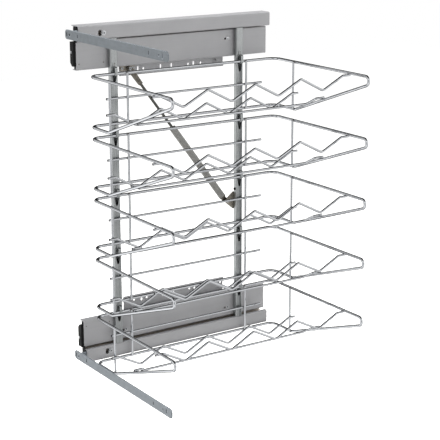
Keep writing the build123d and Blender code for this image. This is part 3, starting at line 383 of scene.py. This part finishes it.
def coated_solid(name, colour, roughness, grit_mm, bump_mm, patch_mm, patch_share, specular=0.5):
    """Paint, plastic or rubber: a fine grit in its relief and slow patches in its tone and gloss."""
    material, tree = new_material(name)
    place = add(tree, "ShaderNodeTexCoord").outputs["Object"]
    grit = add(tree, "ShaderNodeTexNoise", {"Vector": place, "Scale": per_metre(grit_mm),
                                            "Detail": 2.0}).outputs["Fac"]
    patches = add(tree, "ShaderNodeTexNoise", {"Vector": place, "Scale": per_metre(patch_mm),
                                               "Detail": 3.0}).outputs["Fac"]
    shade = add(tree, "ShaderNodeMapRange", {"Value": patches, "From Min": NOISE_SPREAD[0],
                                             "From Max": NOISE_SPREAD[1],
                                             "To Min": 1.0 - patch_share,
                                             "To Max": 1.0 + patch_share}).outputs["Result"]
    tone = add(tree, "ShaderNodeVectorMath", {0: colour, 1: shade}, operation="MULTIPLY").outputs["Vector"]
    gloss = add(tree, "ShaderNodeMapRange", {"Value": patches, "From Min": NOISE_SPREAD[0],
                                             "From Max": NOISE_SPREAD[1],
                                             "To Min": roughness * (1 - PATCH_GLOSS),
                                             "To Max": roughness * (1 + PATCH_GLOSS)}).outputs["Result"]
    relief = add(tree, "ShaderNodeBump", {"Height": grit, "Distance": bump_mm / 1000, "Strength": 1.0})
    shader = add(tree, "ShaderNodeBsdfPrincipled", {"Base Color": tone, "Roughness": gloss,
                                                    "Specular IOR Level": specular,
                                                    "Normal": relief.outputs["Normal"]})
    add(tree, "ShaderNodeOutputMaterial", {"Surface": shader.outputs["BSDF"]})
    return material


def moulded_polyamide():
    # Black polyamide, moulded with a spark-eroded grain: deep black, with only a faint sheen.
    return coated_solid("moulded_polyamide", look().cap, roughness=0.5, grit_mm=0.8, bump_mm=0.02,
                        patch_mm=20.0, patch_share=0.15, specular=0.15)


def nitrile_rubber():
    # Black nitrile rubber: soft, dull and slightly dusty.
    return coated_solid("nitrile_rubber", look().rubber, roughness=0.7, grit_mm=0.6, bump_mm=0.02,
                        patch_mm=6.0, patch_share=0.25, specular=0.35)


def enamelled_cylinder():
    # Steel tube in brown-grey baked enamel: half gloss, with a faint orange-peel relief.
    return coated_solid("enamelled_cylinder", look().cylinder, roughness=0.38, grit_mm=1.6, bump_mm=0.01,
                        patch_mm=30.0, patch_share=0.08)


def recess_painted_shade():
    # The floor of a screw's drive: unpolished steel under old grease, painted nearly black for the shade in
    # the recess, and dull.
    return coated_solid("recess_painted_shade", look().recess, roughness=0.8, grit_mm=0.4, bump_mm=0.02, patch_mm=1.5,
                        patch_share=0.3, specular=0.2)


MATERIALS = {
    "zinc_plated_sheet": zinc_plated_sheet,
    "zinc_plated_post": zinc_plated_post,
    "blue_zinc_bar": blue_zinc_bar,
    "bright_chrome_wire": bright_chrome_wire,
    "scorched_weld": scorched_weld,
    "bright_zinc_fastener": bright_zinc_fastener,
    "oiled_slide_steel": oiled_slide_steel,
    "phosphated_strut_steel": phosphated_strut_steel,
    "ground_piston_rod": ground_piston_rod,
    "chromated_bracket": chromated_bracket,
    "moulded_polyamide": moulded_polyamide,
    "nitrile_rubber": nitrile_rubber,
    "enamelled_cylinder": enamelled_cylinder,
    "recess_painted_shade": recess_painted_shade,
}


# Shapes

def finished_piece(name, shape, finish, body):
    """Turns a shape into a finished piece that rides on its body."""
    mesh = bpy.data.meshes.new(name)
    shape.to_mesh(mesh)
    shape.free()
    mesh.shade_smooth()
    mesh.materials.append(finish_of(finish))
    piece = bpy.data.objects.new(name, mesh)
    bpy.context.collection.objects.link(piece)
    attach(piece, body)
    return piece


def add_bead(shape, middle, half_sizes, seed):
    """A nugget of melted metal: a flattened ball with an uneven skin."""
    skin = bmesh.ops.create_icosphere(shape, subdivisions=3, radius=1.0)["verts"]
    shift = Vector((seed, seed * 0.7, 0.0))
    for vertex in skin:
        wave = 1.0 + BEAD_WAVE * noise.noise(vertex.co * BEAD_GRAIN + shift)
        vertex.co = Vector([m + c * h * wave for m, c, h in zip(middle, vertex.co, half_sizes)])


def across(axis):
    """Two directions across an axis, and the axis itself."""
    axis = Vector(axis)
    first = axis.orthogonal().normalized()
    return first, axis.cross(first), axis


def add_turned(shape, place, axis, profile, steps=24, corners=0):
    """A turned form: rings of a radius and a height along an axis, each round or with that many corners."""
    first, second, forward = across(axis)
    rings = []
    for radius, height, cornered in profile:
        ring = []
        for step in range(steps):
            angle = 2 * math.pi * step / steps
            reach = radius
            if cornered:
                half = math.pi / corners
                reach = radius / math.cos((angle + half) % (2 * half) - half)
            ring.append(shape.verts.new(Vector(place) + first * reach * math.cos(angle)
                                        + second * reach * math.sin(angle) + forward * height))
        rings.append(ring)
    for inner, outer in zip(rings, rings[1:]):
        for step in range(steps):
            after = (step + 1) % steps
            shape.faces.new((inner[step], inner[after], outer[after], outer[step]))
    return rings


def add_spot_mark(shape, place, axis, diameter):
    """The ring that a welding electrode leaves: a low bank round a shallow middle."""
    profile = [(diameter / 2 * share, height, False) for share, height in SPOT_PROFILE]
    rings = add_turned(shape, place, axis, profile)
    shape.faces.new(rings[-1])


def add_cross(shape, place, axis, size):
    """A thin cross just over a screw's head, where its drive is, to carry the drive's painted shade; its arms
    taper to their ends.
    """
    first, second, forward = across(axis)
    width = size * DRIVE_ARM
    outline = []
    for quarter in range(4):
        angle = quarter * math.pi / 2
        out = first * math.cos(angle) + second * math.sin(angle)
        side = second * math.cos(angle) - first * math.sin(angle)
        outline += [out * width - side * width, out * size / 2 - side * width * DRIVE_TAPER,
                    out * size / 2 + side * width * DRIVE_TAPER]
    lower = [shape.verts.new(Vector(place) + point * DRIVE_SPREAD) for point in outline]
    upper = [shape.verts.new(Vector(place) + point + forward * DRIVE_RISE) for point in outline]
    for i in range(len(outline)):
        after = (i + 1) % len(outline)
        shape.faces.new((lower[i], lower[after], upper[after], upper[i]))
    shape.faces.new(upper)


def basket_ends(tier):
    """The Y of each end wire, the way to the basket's inside, and the inset of its upright."""
    low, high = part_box(f"basket_{tier}_frame")
    return ((low.y + RIM_WIRE / 2, 1, UPRIGHT_INSETS[0]), (high.y - RIM_WIRE / 2, -1, UPRIGHT_INSETS[1]))


def basket_welds(tier):
    """Where two wires of a basket are welded: the place, and the number of the axis from one to the other."""
    low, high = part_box(f"basket_{tier}_frame")
    inner_low, inner_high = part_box(f"basket_{tier}_zigzags")
    rail_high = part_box(f"basket_{tier}_rails")[1]
    rail_x = low.x + RIM_WIRE / 2
    rim, foot = high.z - RIM_WIRE / 2, low.z + RIM_WIRE / 2
    reach = high.x - RIM_WIRE / 2
    outer_x, inner_x = inner_high.x - INNER_WIRE / 2, inner_low.x + INNER_WIRE / 2
    end_upright_x = inner_x - THIN_WELD_STEP
    tab_x = rail_high.x - INNER_WIRE / 2
    share = (tab_x - LEVEL_REACH) / (reach - LEVEL_REACH)
    slant = foot + share * (rim - HAIRPIN_DROP - foot)
    for y, inward, inset in basket_ends(tier):
        upright_y = y + inward * inset
        for height in (rim, foot):
            yield (rail_x + RIM_WIRE / 2, upright_y, height), 0
            yield (end_upright_x, y + inward * RIM_WIRE / 2, height), 1
        yield (rail_x + WELD_STEP - THIN_WELD_STEP / 2, upright_y, rim - RAIL_DROP), 0
        yield (outer_x, y, rim - RIM_WIRE / 2), 2
        yield (end_upright_x + THIN_WELD_STEP / 2, y + inward * WELD_STEP, rim - INNER_TAB_DROP), 0
        yield (tab_x, y, slant + RIM_WIRE / 2), 2


# Stage

def make_camera():
    """The camera at the photograph's viewing angle."""
    data = bpy.data.cameras.new("camera")
    data.lens = CAMERA_LENS
    data.sensor_width = CAMERA_SENSOR
    data.clip_end = 100.0
    camera = bpy.data.objects.new("camera", data)
    bpy.context.collection.objects.link(camera)
    camera.location = CAMERA_PLACE
    camera.rotation_euler = (math.radians(90 - CAMERA_PITCH), 0.0, math.radians(CAMERA_AZIMUTH))
    bpy.context.scene.camera = camera


def soft_light(name, place, size, power):
    """A square soft box that faces the rack's middle. Polished metal mirrors the studio and not its lamps."""
    data = bpy.data.lights.new(name, "AREA")
    data.size = size
    data.energy = power
    light = bpy.data.objects.new(name, data)
    bpy.context.collection.objects.link(light)
    light.location = place
    light.visible_glossy = False
    middle = (cad_low + cad_high) / 2
    light.rotation_euler = (middle - light.location).to_track_quat("-Z", "Y").to_euler()


def pale_floor(stage):
    """White floor paper: it shows white, and darkens only where the rack shades it."""
    material, tree = new_material("floor_paper")
    path = add(tree, "ShaderNodeLightPath")
    mirror = add(tree, "ShaderNodeMath", {0: path.outputs["Is Camera Ray"], 1: path.outputs["Is Glossy Ray"]},
                 operation="MAXIMUM")
    seen = add(tree, "ShaderNodeMath", {0: mirror.outputs["Value"], 1: path.outputs["Is Transmission Ray"]},
               operation="MAXIMUM")
    strength = add(tree, "ShaderNodeMath", {0: seen.outputs["Value"], 1: stage.floor_glow},
                   operation="MULTIPLY")
    grain = add(tree, "ShaderNodeTexNoise", {"Vector": add(tree, "ShaderNodeTexCoord").outputs["Object"],
                                             "Scale": per_metre(FLOOR_GRAIN_MM), "Detail": 2.0})
    relief = add(tree, "ShaderNodeBump", {"Height": grain.outputs["Fac"], "Distance": FLOOR_RELIEF,
                                          "Strength": 0.3})
    paper = add(tree, "ShaderNodeBsdfDiffuse", {"Color": list(stage.floor_colour) + [1.0], "Roughness": 0.5,
                                                "Normal": relief.outputs["Normal"]})
    glow = add(tree, "ShaderNodeEmission", {"Color": WHITE, "Strength": strength.outputs["Value"]})
    both = add(tree, "ShaderNodeAddShader", {0: paper.outputs["BSDF"], 1: glow.outputs["Emission"]})
    add(tree, "ShaderNodeOutputMaterial", {"Surface": both.outputs["Shader"]})
    return material


def make_floor(stage):
    """The floor, well below the hanging rack. Metal mirrors the world's own floor in its place."""
    half = FLOOR_SIZE / 2
    height = cad_low.z - stage.floor_drop
    mesh = bpy.data.meshes.new("floor")
    corners = [(x * half, y * half, height) for x, y in ((-1, -1), (1, -1), (1, 1), (-1, 1))]
    mesh.from_pydata(corners, [], [(0, 1, 2, 3)])
    mesh.materials.append(pale_floor(stage))
    floor = bpy.data.objects.new("floor", mesh)
    floor.visible_glossy = False
    bpy.context.collection.objects.link(floor)


def mirrored_studio(tree, stage):
    """How bright the studio is in each direction, as polished metal shows it."""
    direction = add(tree, "ShaderNodeTexCoord").outputs["Generated"]
    height = add(tree, "ShaderNodeSeparateXYZ", {"Vector": direction}).outputs["Z"]
    ground = add(tree, "ShaderNodeMapRange", {"Value": height, "From Min": FLOOR_TURN[0],
                                              "From Max": FLOOR_TURN[1], "To Min": stage.ground_level,
                                              "To Max": stage.band_level}, interpolation_type="SMOOTHSTEP")
    over = add(tree, "ShaderNodeMapRange", {"Value": height, "From Min": CEILING_TURN[0],
                                            "From Max": CEILING_TURN[1]}, interpolation_type="SMOOTHSTEP")
    light = add(tree, "ShaderNodeMix", {0: over.outputs["Result"], 2: ground.outputs["Result"],
                                        3: stage.ceiling_level}).outputs[0]
    for place, start, end, level in STUDIO_BOARDS:
        towards = add(tree, "ShaderNodeVectorMath", {0: direction, 1: Vector(place).normalized()},
                      operation="DOT_PRODUCT")
        there = add(tree, "ShaderNodeMapRange", {"Value": towards.outputs["Value"], "From Min": start,
                                                 "From Max": end}, interpolation_type="SMOOTHSTEP")
        light = add(tree, "ShaderNodeMix", {0: there.outputs["Result"], 2: light, 3: level}).outputs[0]
    return light


def make_world(stage):
    """Plain soft light from all round. The camera sees white, and metal mirrors the studio."""
    world = bpy.data.worlds.new("studio")
    bpy.context.scene.world = world
    world.use_nodes = True
    world.cycles.sampling_method = "NONE"
    tree = world.node_tree
    tree.nodes.clear()
    path = add(tree, "ShaderNodeLightPath")
    room = add(tree, "ShaderNodeBackground", {"Color": WHITE, "Strength": stage.world_level})
    mirrored = add(tree, "ShaderNodeBackground", {"Color": WHITE, "Strength": mirrored_studio(tree, stage)})
    white = add(tree, "ShaderNodeBackground", {"Color": WHITE, "Strength": 1.0})
    lit = add(tree, "ShaderNodeMixShader", {0: path.outputs["Is Glossy Ray"], 1: room.outputs["Background"],
                                            2: mirrored.outputs["Background"]})
    clear = add(tree, "ShaderNodeMath", {0: path.outputs["Is Camera Ray"],
                                         1: path.outputs["Is Transmission Ray"]}, operation="MAXIMUM")
    shown = add(tree, "ShaderNodeMixShader", {0: clear.outputs["Value"], 1: lit.outputs["Shader"],
                                              2: white.outputs["Background"]})
    add(tree, "ShaderNodeOutputWorld", {"Surface": shown.outputs["Shader"]})


# Settings that the panel shows

def colour(name, description, code):
    """A colour setting with its sRGB default."""
    return bpy.props.FloatVectorProperty(name=name, description=description, subtype="COLOR", size=3, min=0.0,
                                         max=1.0, default=linear(code))


def level(name, description, value, most=3.0):
    """A brightness setting."""
    return bpy.props.FloatProperty(name=name, description=description, default=value, min=0.0, max=most)


def lamp_power(name, description, watts):
    """A lamp's power."""
    return bpy.props.FloatProperty(name=name, description=description, default=watts, min=0.0, unit="POWER")


class WineRackFinishes(bpy.types.PropertyGroup):
    """Colours of the rack's finishes."""
    sheet: colour("Sheet", "Zinc plated sheet of the boxes, panels and wall strips", "#A8A8AA")
    post: colour("Posts", "Zinc plated posts", "#ACAFAF")
    arm: colour("Door arms", "Blue zinc plated door arms", "#7D8388")
    wire: colour("Wires", "Chrome plated wires and hooks", "#CBCDD0")
    weld: colour("Welds", "Scorched chrome over the welds", "#77736F")
    cut_steel: colour("Cut ends", "Cut ends of the wires", "#3A3938")
    fastener: colour("Fasteners", "Screws, washers, nuts and rivets", "#C8CACC")
    # Screw recesses: painted shade, a near black that stands for the shade in the drives
    recess: colour("Screw recesses", "Floors of the screws' drives", "#161616")
    # Slides: partly the steel's own warm grey and partly painted light, lighter for the dark gaps by the
    # boxes
    slide: colour("Slides", "Steel of the ball slides", "#CDC2B6")
    strut_end: colour("Strut ends", "Phosphated eye and fitting of the strut", "#78746C")
    piston_rod: colour("Piston rod", "Blackened piston rod", "#62625E")
    bracket: colour("Brackets", "Chromated brackets of the strut", "#A8A297")
    cap: colour("End caps", "Moulded end caps", "#0C0C0D")
    rubber: colour("Rubber", "Seal and stop button", "#1C1C1D")
    cylinder: colour("Cylinder", "Enamelled cylinder of the strut", "#888784")


class WineRackStage(bpy.types.PropertyGroup):
    """The floor, the lights and what the metal mirrors."""
    floor_colour: colour("Floor", "Floor paper", "#F0F0EE")
    floor_glow: level("Floor glow", "How much the floor shows beyond its lighting", 0.6, 1.0)
    floor_drop: bpy.props.FloatProperty(name="Floor drop", default=0.5, min=0.0, max=3.0, unit="LENGTH",
                                        description="Height of the hanging rack over the floor")
    world_level: level("Room light", "Light from all round", 0.55)
    key_power: lamp_power("Key light", "Power of the main soft box", 40.0)
    fill_power: lamp_power("Fill light", "Power of the second soft box", 25.0)
    top_power: lamp_power("Top light", "Power of the soft box over the rack", 170.0)
    band_level: level("Bright band", "Brightness that metal mirrors from round the rack", 1.15)
    ground_level: level("Ground", "Brightness that metal mirrors from straight below", 0.70)
    ceiling_level: level("Ceiling", "Brightness that metal mirrors from above", 0.04)


# Operators, one for each group of like pieces

class RACK_OT_stage(bpy.types.Operator):
    """Make the floor, the lights, the world and the camera"""
    bl_idname = "rack.stage"
    bl_label = "Stage"

    def execute(self, context):
        stage = context.scene.wine_rack_stage
        make_camera()
        make_floor(stage)
        make_world(stage)
        soft_light("key_light", KEY_PLACE, KEY_SIZE, stage.key_power)
        soft_light("fill_light", FILL_PLACE, FILL_SIZE, stage.fill_power)
        soft_light("top_light", TOP_PLACE, TOP_SIZE, stage.top_power)
        return {"FINISHED"}


class RACK_OT_wall_side(bpy.types.Operator):
    """Dress the wall strips, the rail panels and their stand-offs"""
    bl_idname = "rack.wall_side"
    bl_label = "Wall strips and panels"

    def execute(self, context):
        for unit in UNITS:
            dress(f"{unit}_wall_strip", "zinc_plated_sheet")
            dress(f"{unit}_rail_panel", "zinc_plated_sheet")
        dress("panel_standoffs", "oiled_slide_steel")
        marks = bmesh.new()
        for unit in UNITS:
            low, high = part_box(f"{unit}_rail_panel")
            for y, inset in SPOT_PLACES:
                z = low.z + inset if unit == "upper" else high.z - inset
                add_spot_mark(marks, (high.x, y, z), (1, 0, 0), SPOT_MARK)
        finished_piece("panel_spot_welds", marks, "scorched_weld", "wall_side")
        return {"FINISHED"}


class RACK_OT_slides(bpy.types.Operator):
    """Dress the ball slides, their cages, spacers and rivets"""
    bl_idname = "rack.slides"
    bl_label = "Ball slides"

    def execute(self, context):
        for unit in UNITS:
            for member in ("fixed_track", "middle_slide", "moving_slide"):
                dress(f"{unit}_{member}", "oiled_slide_steel")
        for node in ("outer_ball_cages", "inner_ball_cages", "slide_spacers", "track_rivets", "slide_rivets"):
            dress(node, "oiled_slide_steel")
        return {"FINISHED"}


class RACK_OT_carrier_boxes(bpy.types.Operator):
    """Dress the moving boxes and their end caps"""
    bl_idname = "rack.carrier_boxes"
    bl_label = "Carrier boxes"

    def execute(self, context):
        for unit in UNITS:
            dress(f"{unit}_carrier_box", "zinc_plated_sheet")
            dress(f"{unit}_end_cap", "moulded_polyamide")
        return {"FINISHED"}


class RACK_OT_door_arms(bpy.types.Operator):
    """Dress the two door arms and weld their legs"""
    bl_idname = "rack.door_arms"
    bl_label = "Door arms"

    def execute(self, context):
        seams = bmesh.new()
        for unit in UNITS:
            dress(f"{unit}_door_arm", "blue_zinc_bar")
            low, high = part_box(f"{unit}_door_arm")
            middle = (low.z + high.z) / 2
            for step in range(int(LEG_HEIGHT / SEAM_STEP)):
                z = middle - LEG_HEIGHT / 2 + (step + 0.5) * SEAM_STEP
                add_bead(seams, (LEG_FACE, ARM_BACK, z), (SEAM_BEAD, SEAM_BEAD, SEAM_STEP),
                         step * SEAM_SEED)
        finished_piece("door_arm_weld_seams", seams, "scorched_weld", "rack")
        return {"FINISHED"}


class RACK_OT_posts(bpy.types.Operator):
    """Dress the two posts"""
    bl_idname = "rack.posts"
    bl_label = "Posts"

    def execute(self, context):
        for node in ("front_post", "rear_post"):
            dress(node, "zinc_plated_post")
        return {"FINISHED"}


class RACK_OT_baskets(bpy.types.Operator):
    """Dress the wires of the five baskets and their hooks, and make their welds"""
    bl_idname = "rack.baskets"
    bl_label = "Baskets"

    def execute(self, context):
        width, thickness = WELD_BEAD
        for tier in TIERS:
            for part in ("frame", "rails", "zigzags"):
                dress(f"basket_{tier}_{part}", "bright_chrome_wire")
            beads = bmesh.new()
            for number, (place, axis) in enumerate(basket_welds(tier)):
                half_sizes = [thickness if i == axis else width for i in range(3)]
                add_bead(beads, place, half_sizes, tier * TIER_SEED + number)
            finished_piece(f"basket_{tier}_welds", beads, "scorched_weld", "rack")
        dress("basket_hooks", "zinc_plated_post")
        self.weld_hooks()
        return {"FINISHED"}

    def weld_hooks(self):
        """Marks the two spot welds on the root of each hook."""
        marks = bmesh.new()
        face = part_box("front_post")[1].x + HOOK_SHEET
        for post in ("front_post", "rear_post"):
            low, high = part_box(post)
            for tier in TIERS:
                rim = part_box(f"basket_{tier}_frame")[1].z - RIM_WIRE / 2
                for rise in HOOK_ROOT:
                    add_spot_mark(marks, (face, (low.y + high.y) / 2, rim + rise), (1, 0, 0), SPOT_MARK)
        finished_piece("hook_spot_welds", marks, "scorched_weld", "rack")


class RACK_OT_fasteners(bpy.types.Operator):
    """Dress the screws, washers, nuts and rivets, and cut the screws' drives"""
    bl_idname = "rack.fasteners"
    bl_label = "Fasteners"

    def execute(self, context):
        for node in ("panel_screws", "end_cap_screws", "clamp_screws", "clamp_washers", "clamp_nuts",
                     "post_screws", "wall_bracket_rivets", "foot_bracket_screws", "foot_pivot_rivet",
                     "wall_pivot_pin"):
            dress(node, "bright_zinc_fastener")
        self.cut_drives()
        self.cut_sockets()
        return {"FINISHED"}

    def cut_drives(self):
        """Cross drives of the panel screws, the cap screws and the screws of the strut's plate, as thin
        crosses in painted shade.
        """
        drives = bmesh.new()
        low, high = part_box("panel_screws")
        radius, size = PANEL_SCREW
        for y in (low.y + radius, high.y - radius):
            for z in (low.z + radius, high.z - radius):
                add_cross(drives, (high.x, y, z), (1, 0, 0), size)
        finished_piece("panel_screw_drives", drives, "recess_painted_shade", "wall_side")
        drives = bmesh.new()
        low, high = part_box("end_cap_screws")
        radius, size = CAP_SCREW
        for z in (low.z + radius, high.z - radius):
            add_cross(drives, ((low.x + high.x) / 2, low.y, z), (0, -1, 0), size)
        low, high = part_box("foot_bracket_screws")
        radius, size = PLATE_SCREW
        for z in (low.z + radius, high.z - radius):
            add_cross(drives, (high.x, (low.y + high.y) / 2, z), (1, 0, 0), size)
        finished_piece("moving_screw_drives", drives, "recess_painted_shade", "rack")

    def cut_sockets(self):
        """Hexagon sockets of the clamp screws: a bright lip and walls, and a floor in painted shade."""
        walls, floors = bmesh.new(), bmesh.new()
        low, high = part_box("clamp_screws")
        y = (low.y + high.y) / 2
        for z in (low.z + CLAMP_SCREW_RADIUS, high.z - CLAMP_SCREW_RADIUS):
            mouth = (high.x - SOCKET_SINK, y, z)
            wall = [(SOCKET_ROUND, 0.0, False), (SOCKET_APOTHEM, -SOCKET_LIP, True),
                    (SOCKET_APOTHEM, -SOCKET_DEPTH, True)]
            add_turned(walls, mouth, (1, 0, 0), wall, steps=36, corners=6)
            floor = [(SOCKET_APOTHEM, -SOCKET_DEPTH + SOCKET_LIP, True),
                     (SOCKET_APOTHEM * SOCKET_TIP, -SOCKET_DEPTH, False)]
            rings = add_turned(floors, mouth, (1, 0, 0), floor, steps=36, corners=6)
            floors.faces.new(rings[-1])
        finished_piece("clamp_socket_walls", walls, "bright_zinc_fastener", "rack")
        finished_piece("clamp_socket_floors", floors, "recess_painted_shade", "rack")


class RACK_OT_strut(bpy.types.Operator):
    """Dress the strut, its brackets and the stop button"""
    bl_idname = "rack.strut"
    bl_label = "Strut"

    def execute(self, context):
        for node in ("strut_eye_fitting", "strut_end_ring", "strut_foot_eye"):
            dress(node, "phosphated_strut_steel")
        for node in ("strut_wall_bracket", "strut_foot_bracket"):
            dress(node, "chromated_bracket")
        dress("strut_piston_rod", "ground_piston_rod")
        dress("strut_cylinder", "enamelled_cylinder")
        dress("strut_seal", "nitrile_rubber")
        dress("post_stop_button", "nitrile_rubber")
        return {"FINISHED"}


class RACK_PT_panel(bpy.types.Panel):
    """Lists the rack's settings and steps"""
    bl_label = "Wine rack"
    bl_space_type = "VIEW_3D"
    bl_region_type = "UI"
    bl_category = "Wine Rack"

    def draw(self, context):
        for group in (context.scene.wine_rack_finishes, context.scene.wine_rack_stage):
            column = self.layout.column()
            for name in group.__annotations__:
                column.prop(group, name)
        for operator in OPERATORS:
            self.layout.operator(operator.bl_idname)


GROUPS = (WineRackFinishes, WineRackStage)
OPERATORS = (RACK_OT_stage, RACK_OT_wall_side, RACK_OT_slides, RACK_OT_carrier_boxes, RACK_OT_door_arms,
             RACK_OT_posts, RACK_OT_baskets, RACK_OT_fasteners, RACK_OT_strut)


def register():
    for item in GROUPS + OPERATORS + (RACK_PT_panel,):
        bpy.utils.register_class(item)
    bpy.types.Scene.wine_rack_finishes = bpy.props.PointerProperty(type=WineRackFinishes)
    bpy.types.Scene.wine_rack_stage = bpy.props.PointerProperty(type=WineRackStage)


def unregister():
    del bpy.types.Scene.wine_rack_stage
    del bpy.types.Scene.wine_rack_finishes
    for item in reversed(GROUPS + OPERATORS + (RACK_PT_panel,)):
        bpy.utils.unregister_class(item)


def main():
    register()
    bpy.context.scene.view_settings.view_transform = "Standard"
    bpy.ops.rack.stage()
    bpy.ops.rack.wall_side()
    bpy.ops.rack.slides()
    bpy.ops.rack.carrier_boxes()
    bpy.ops.rack.door_arms()
    bpy.ops.rack.posts()
    bpy.ops.rack.baskets()
    bpy.ops.rack.fasteners()
    bpy.ops.rack.strut()


if __name__ == "__main__":
    main()
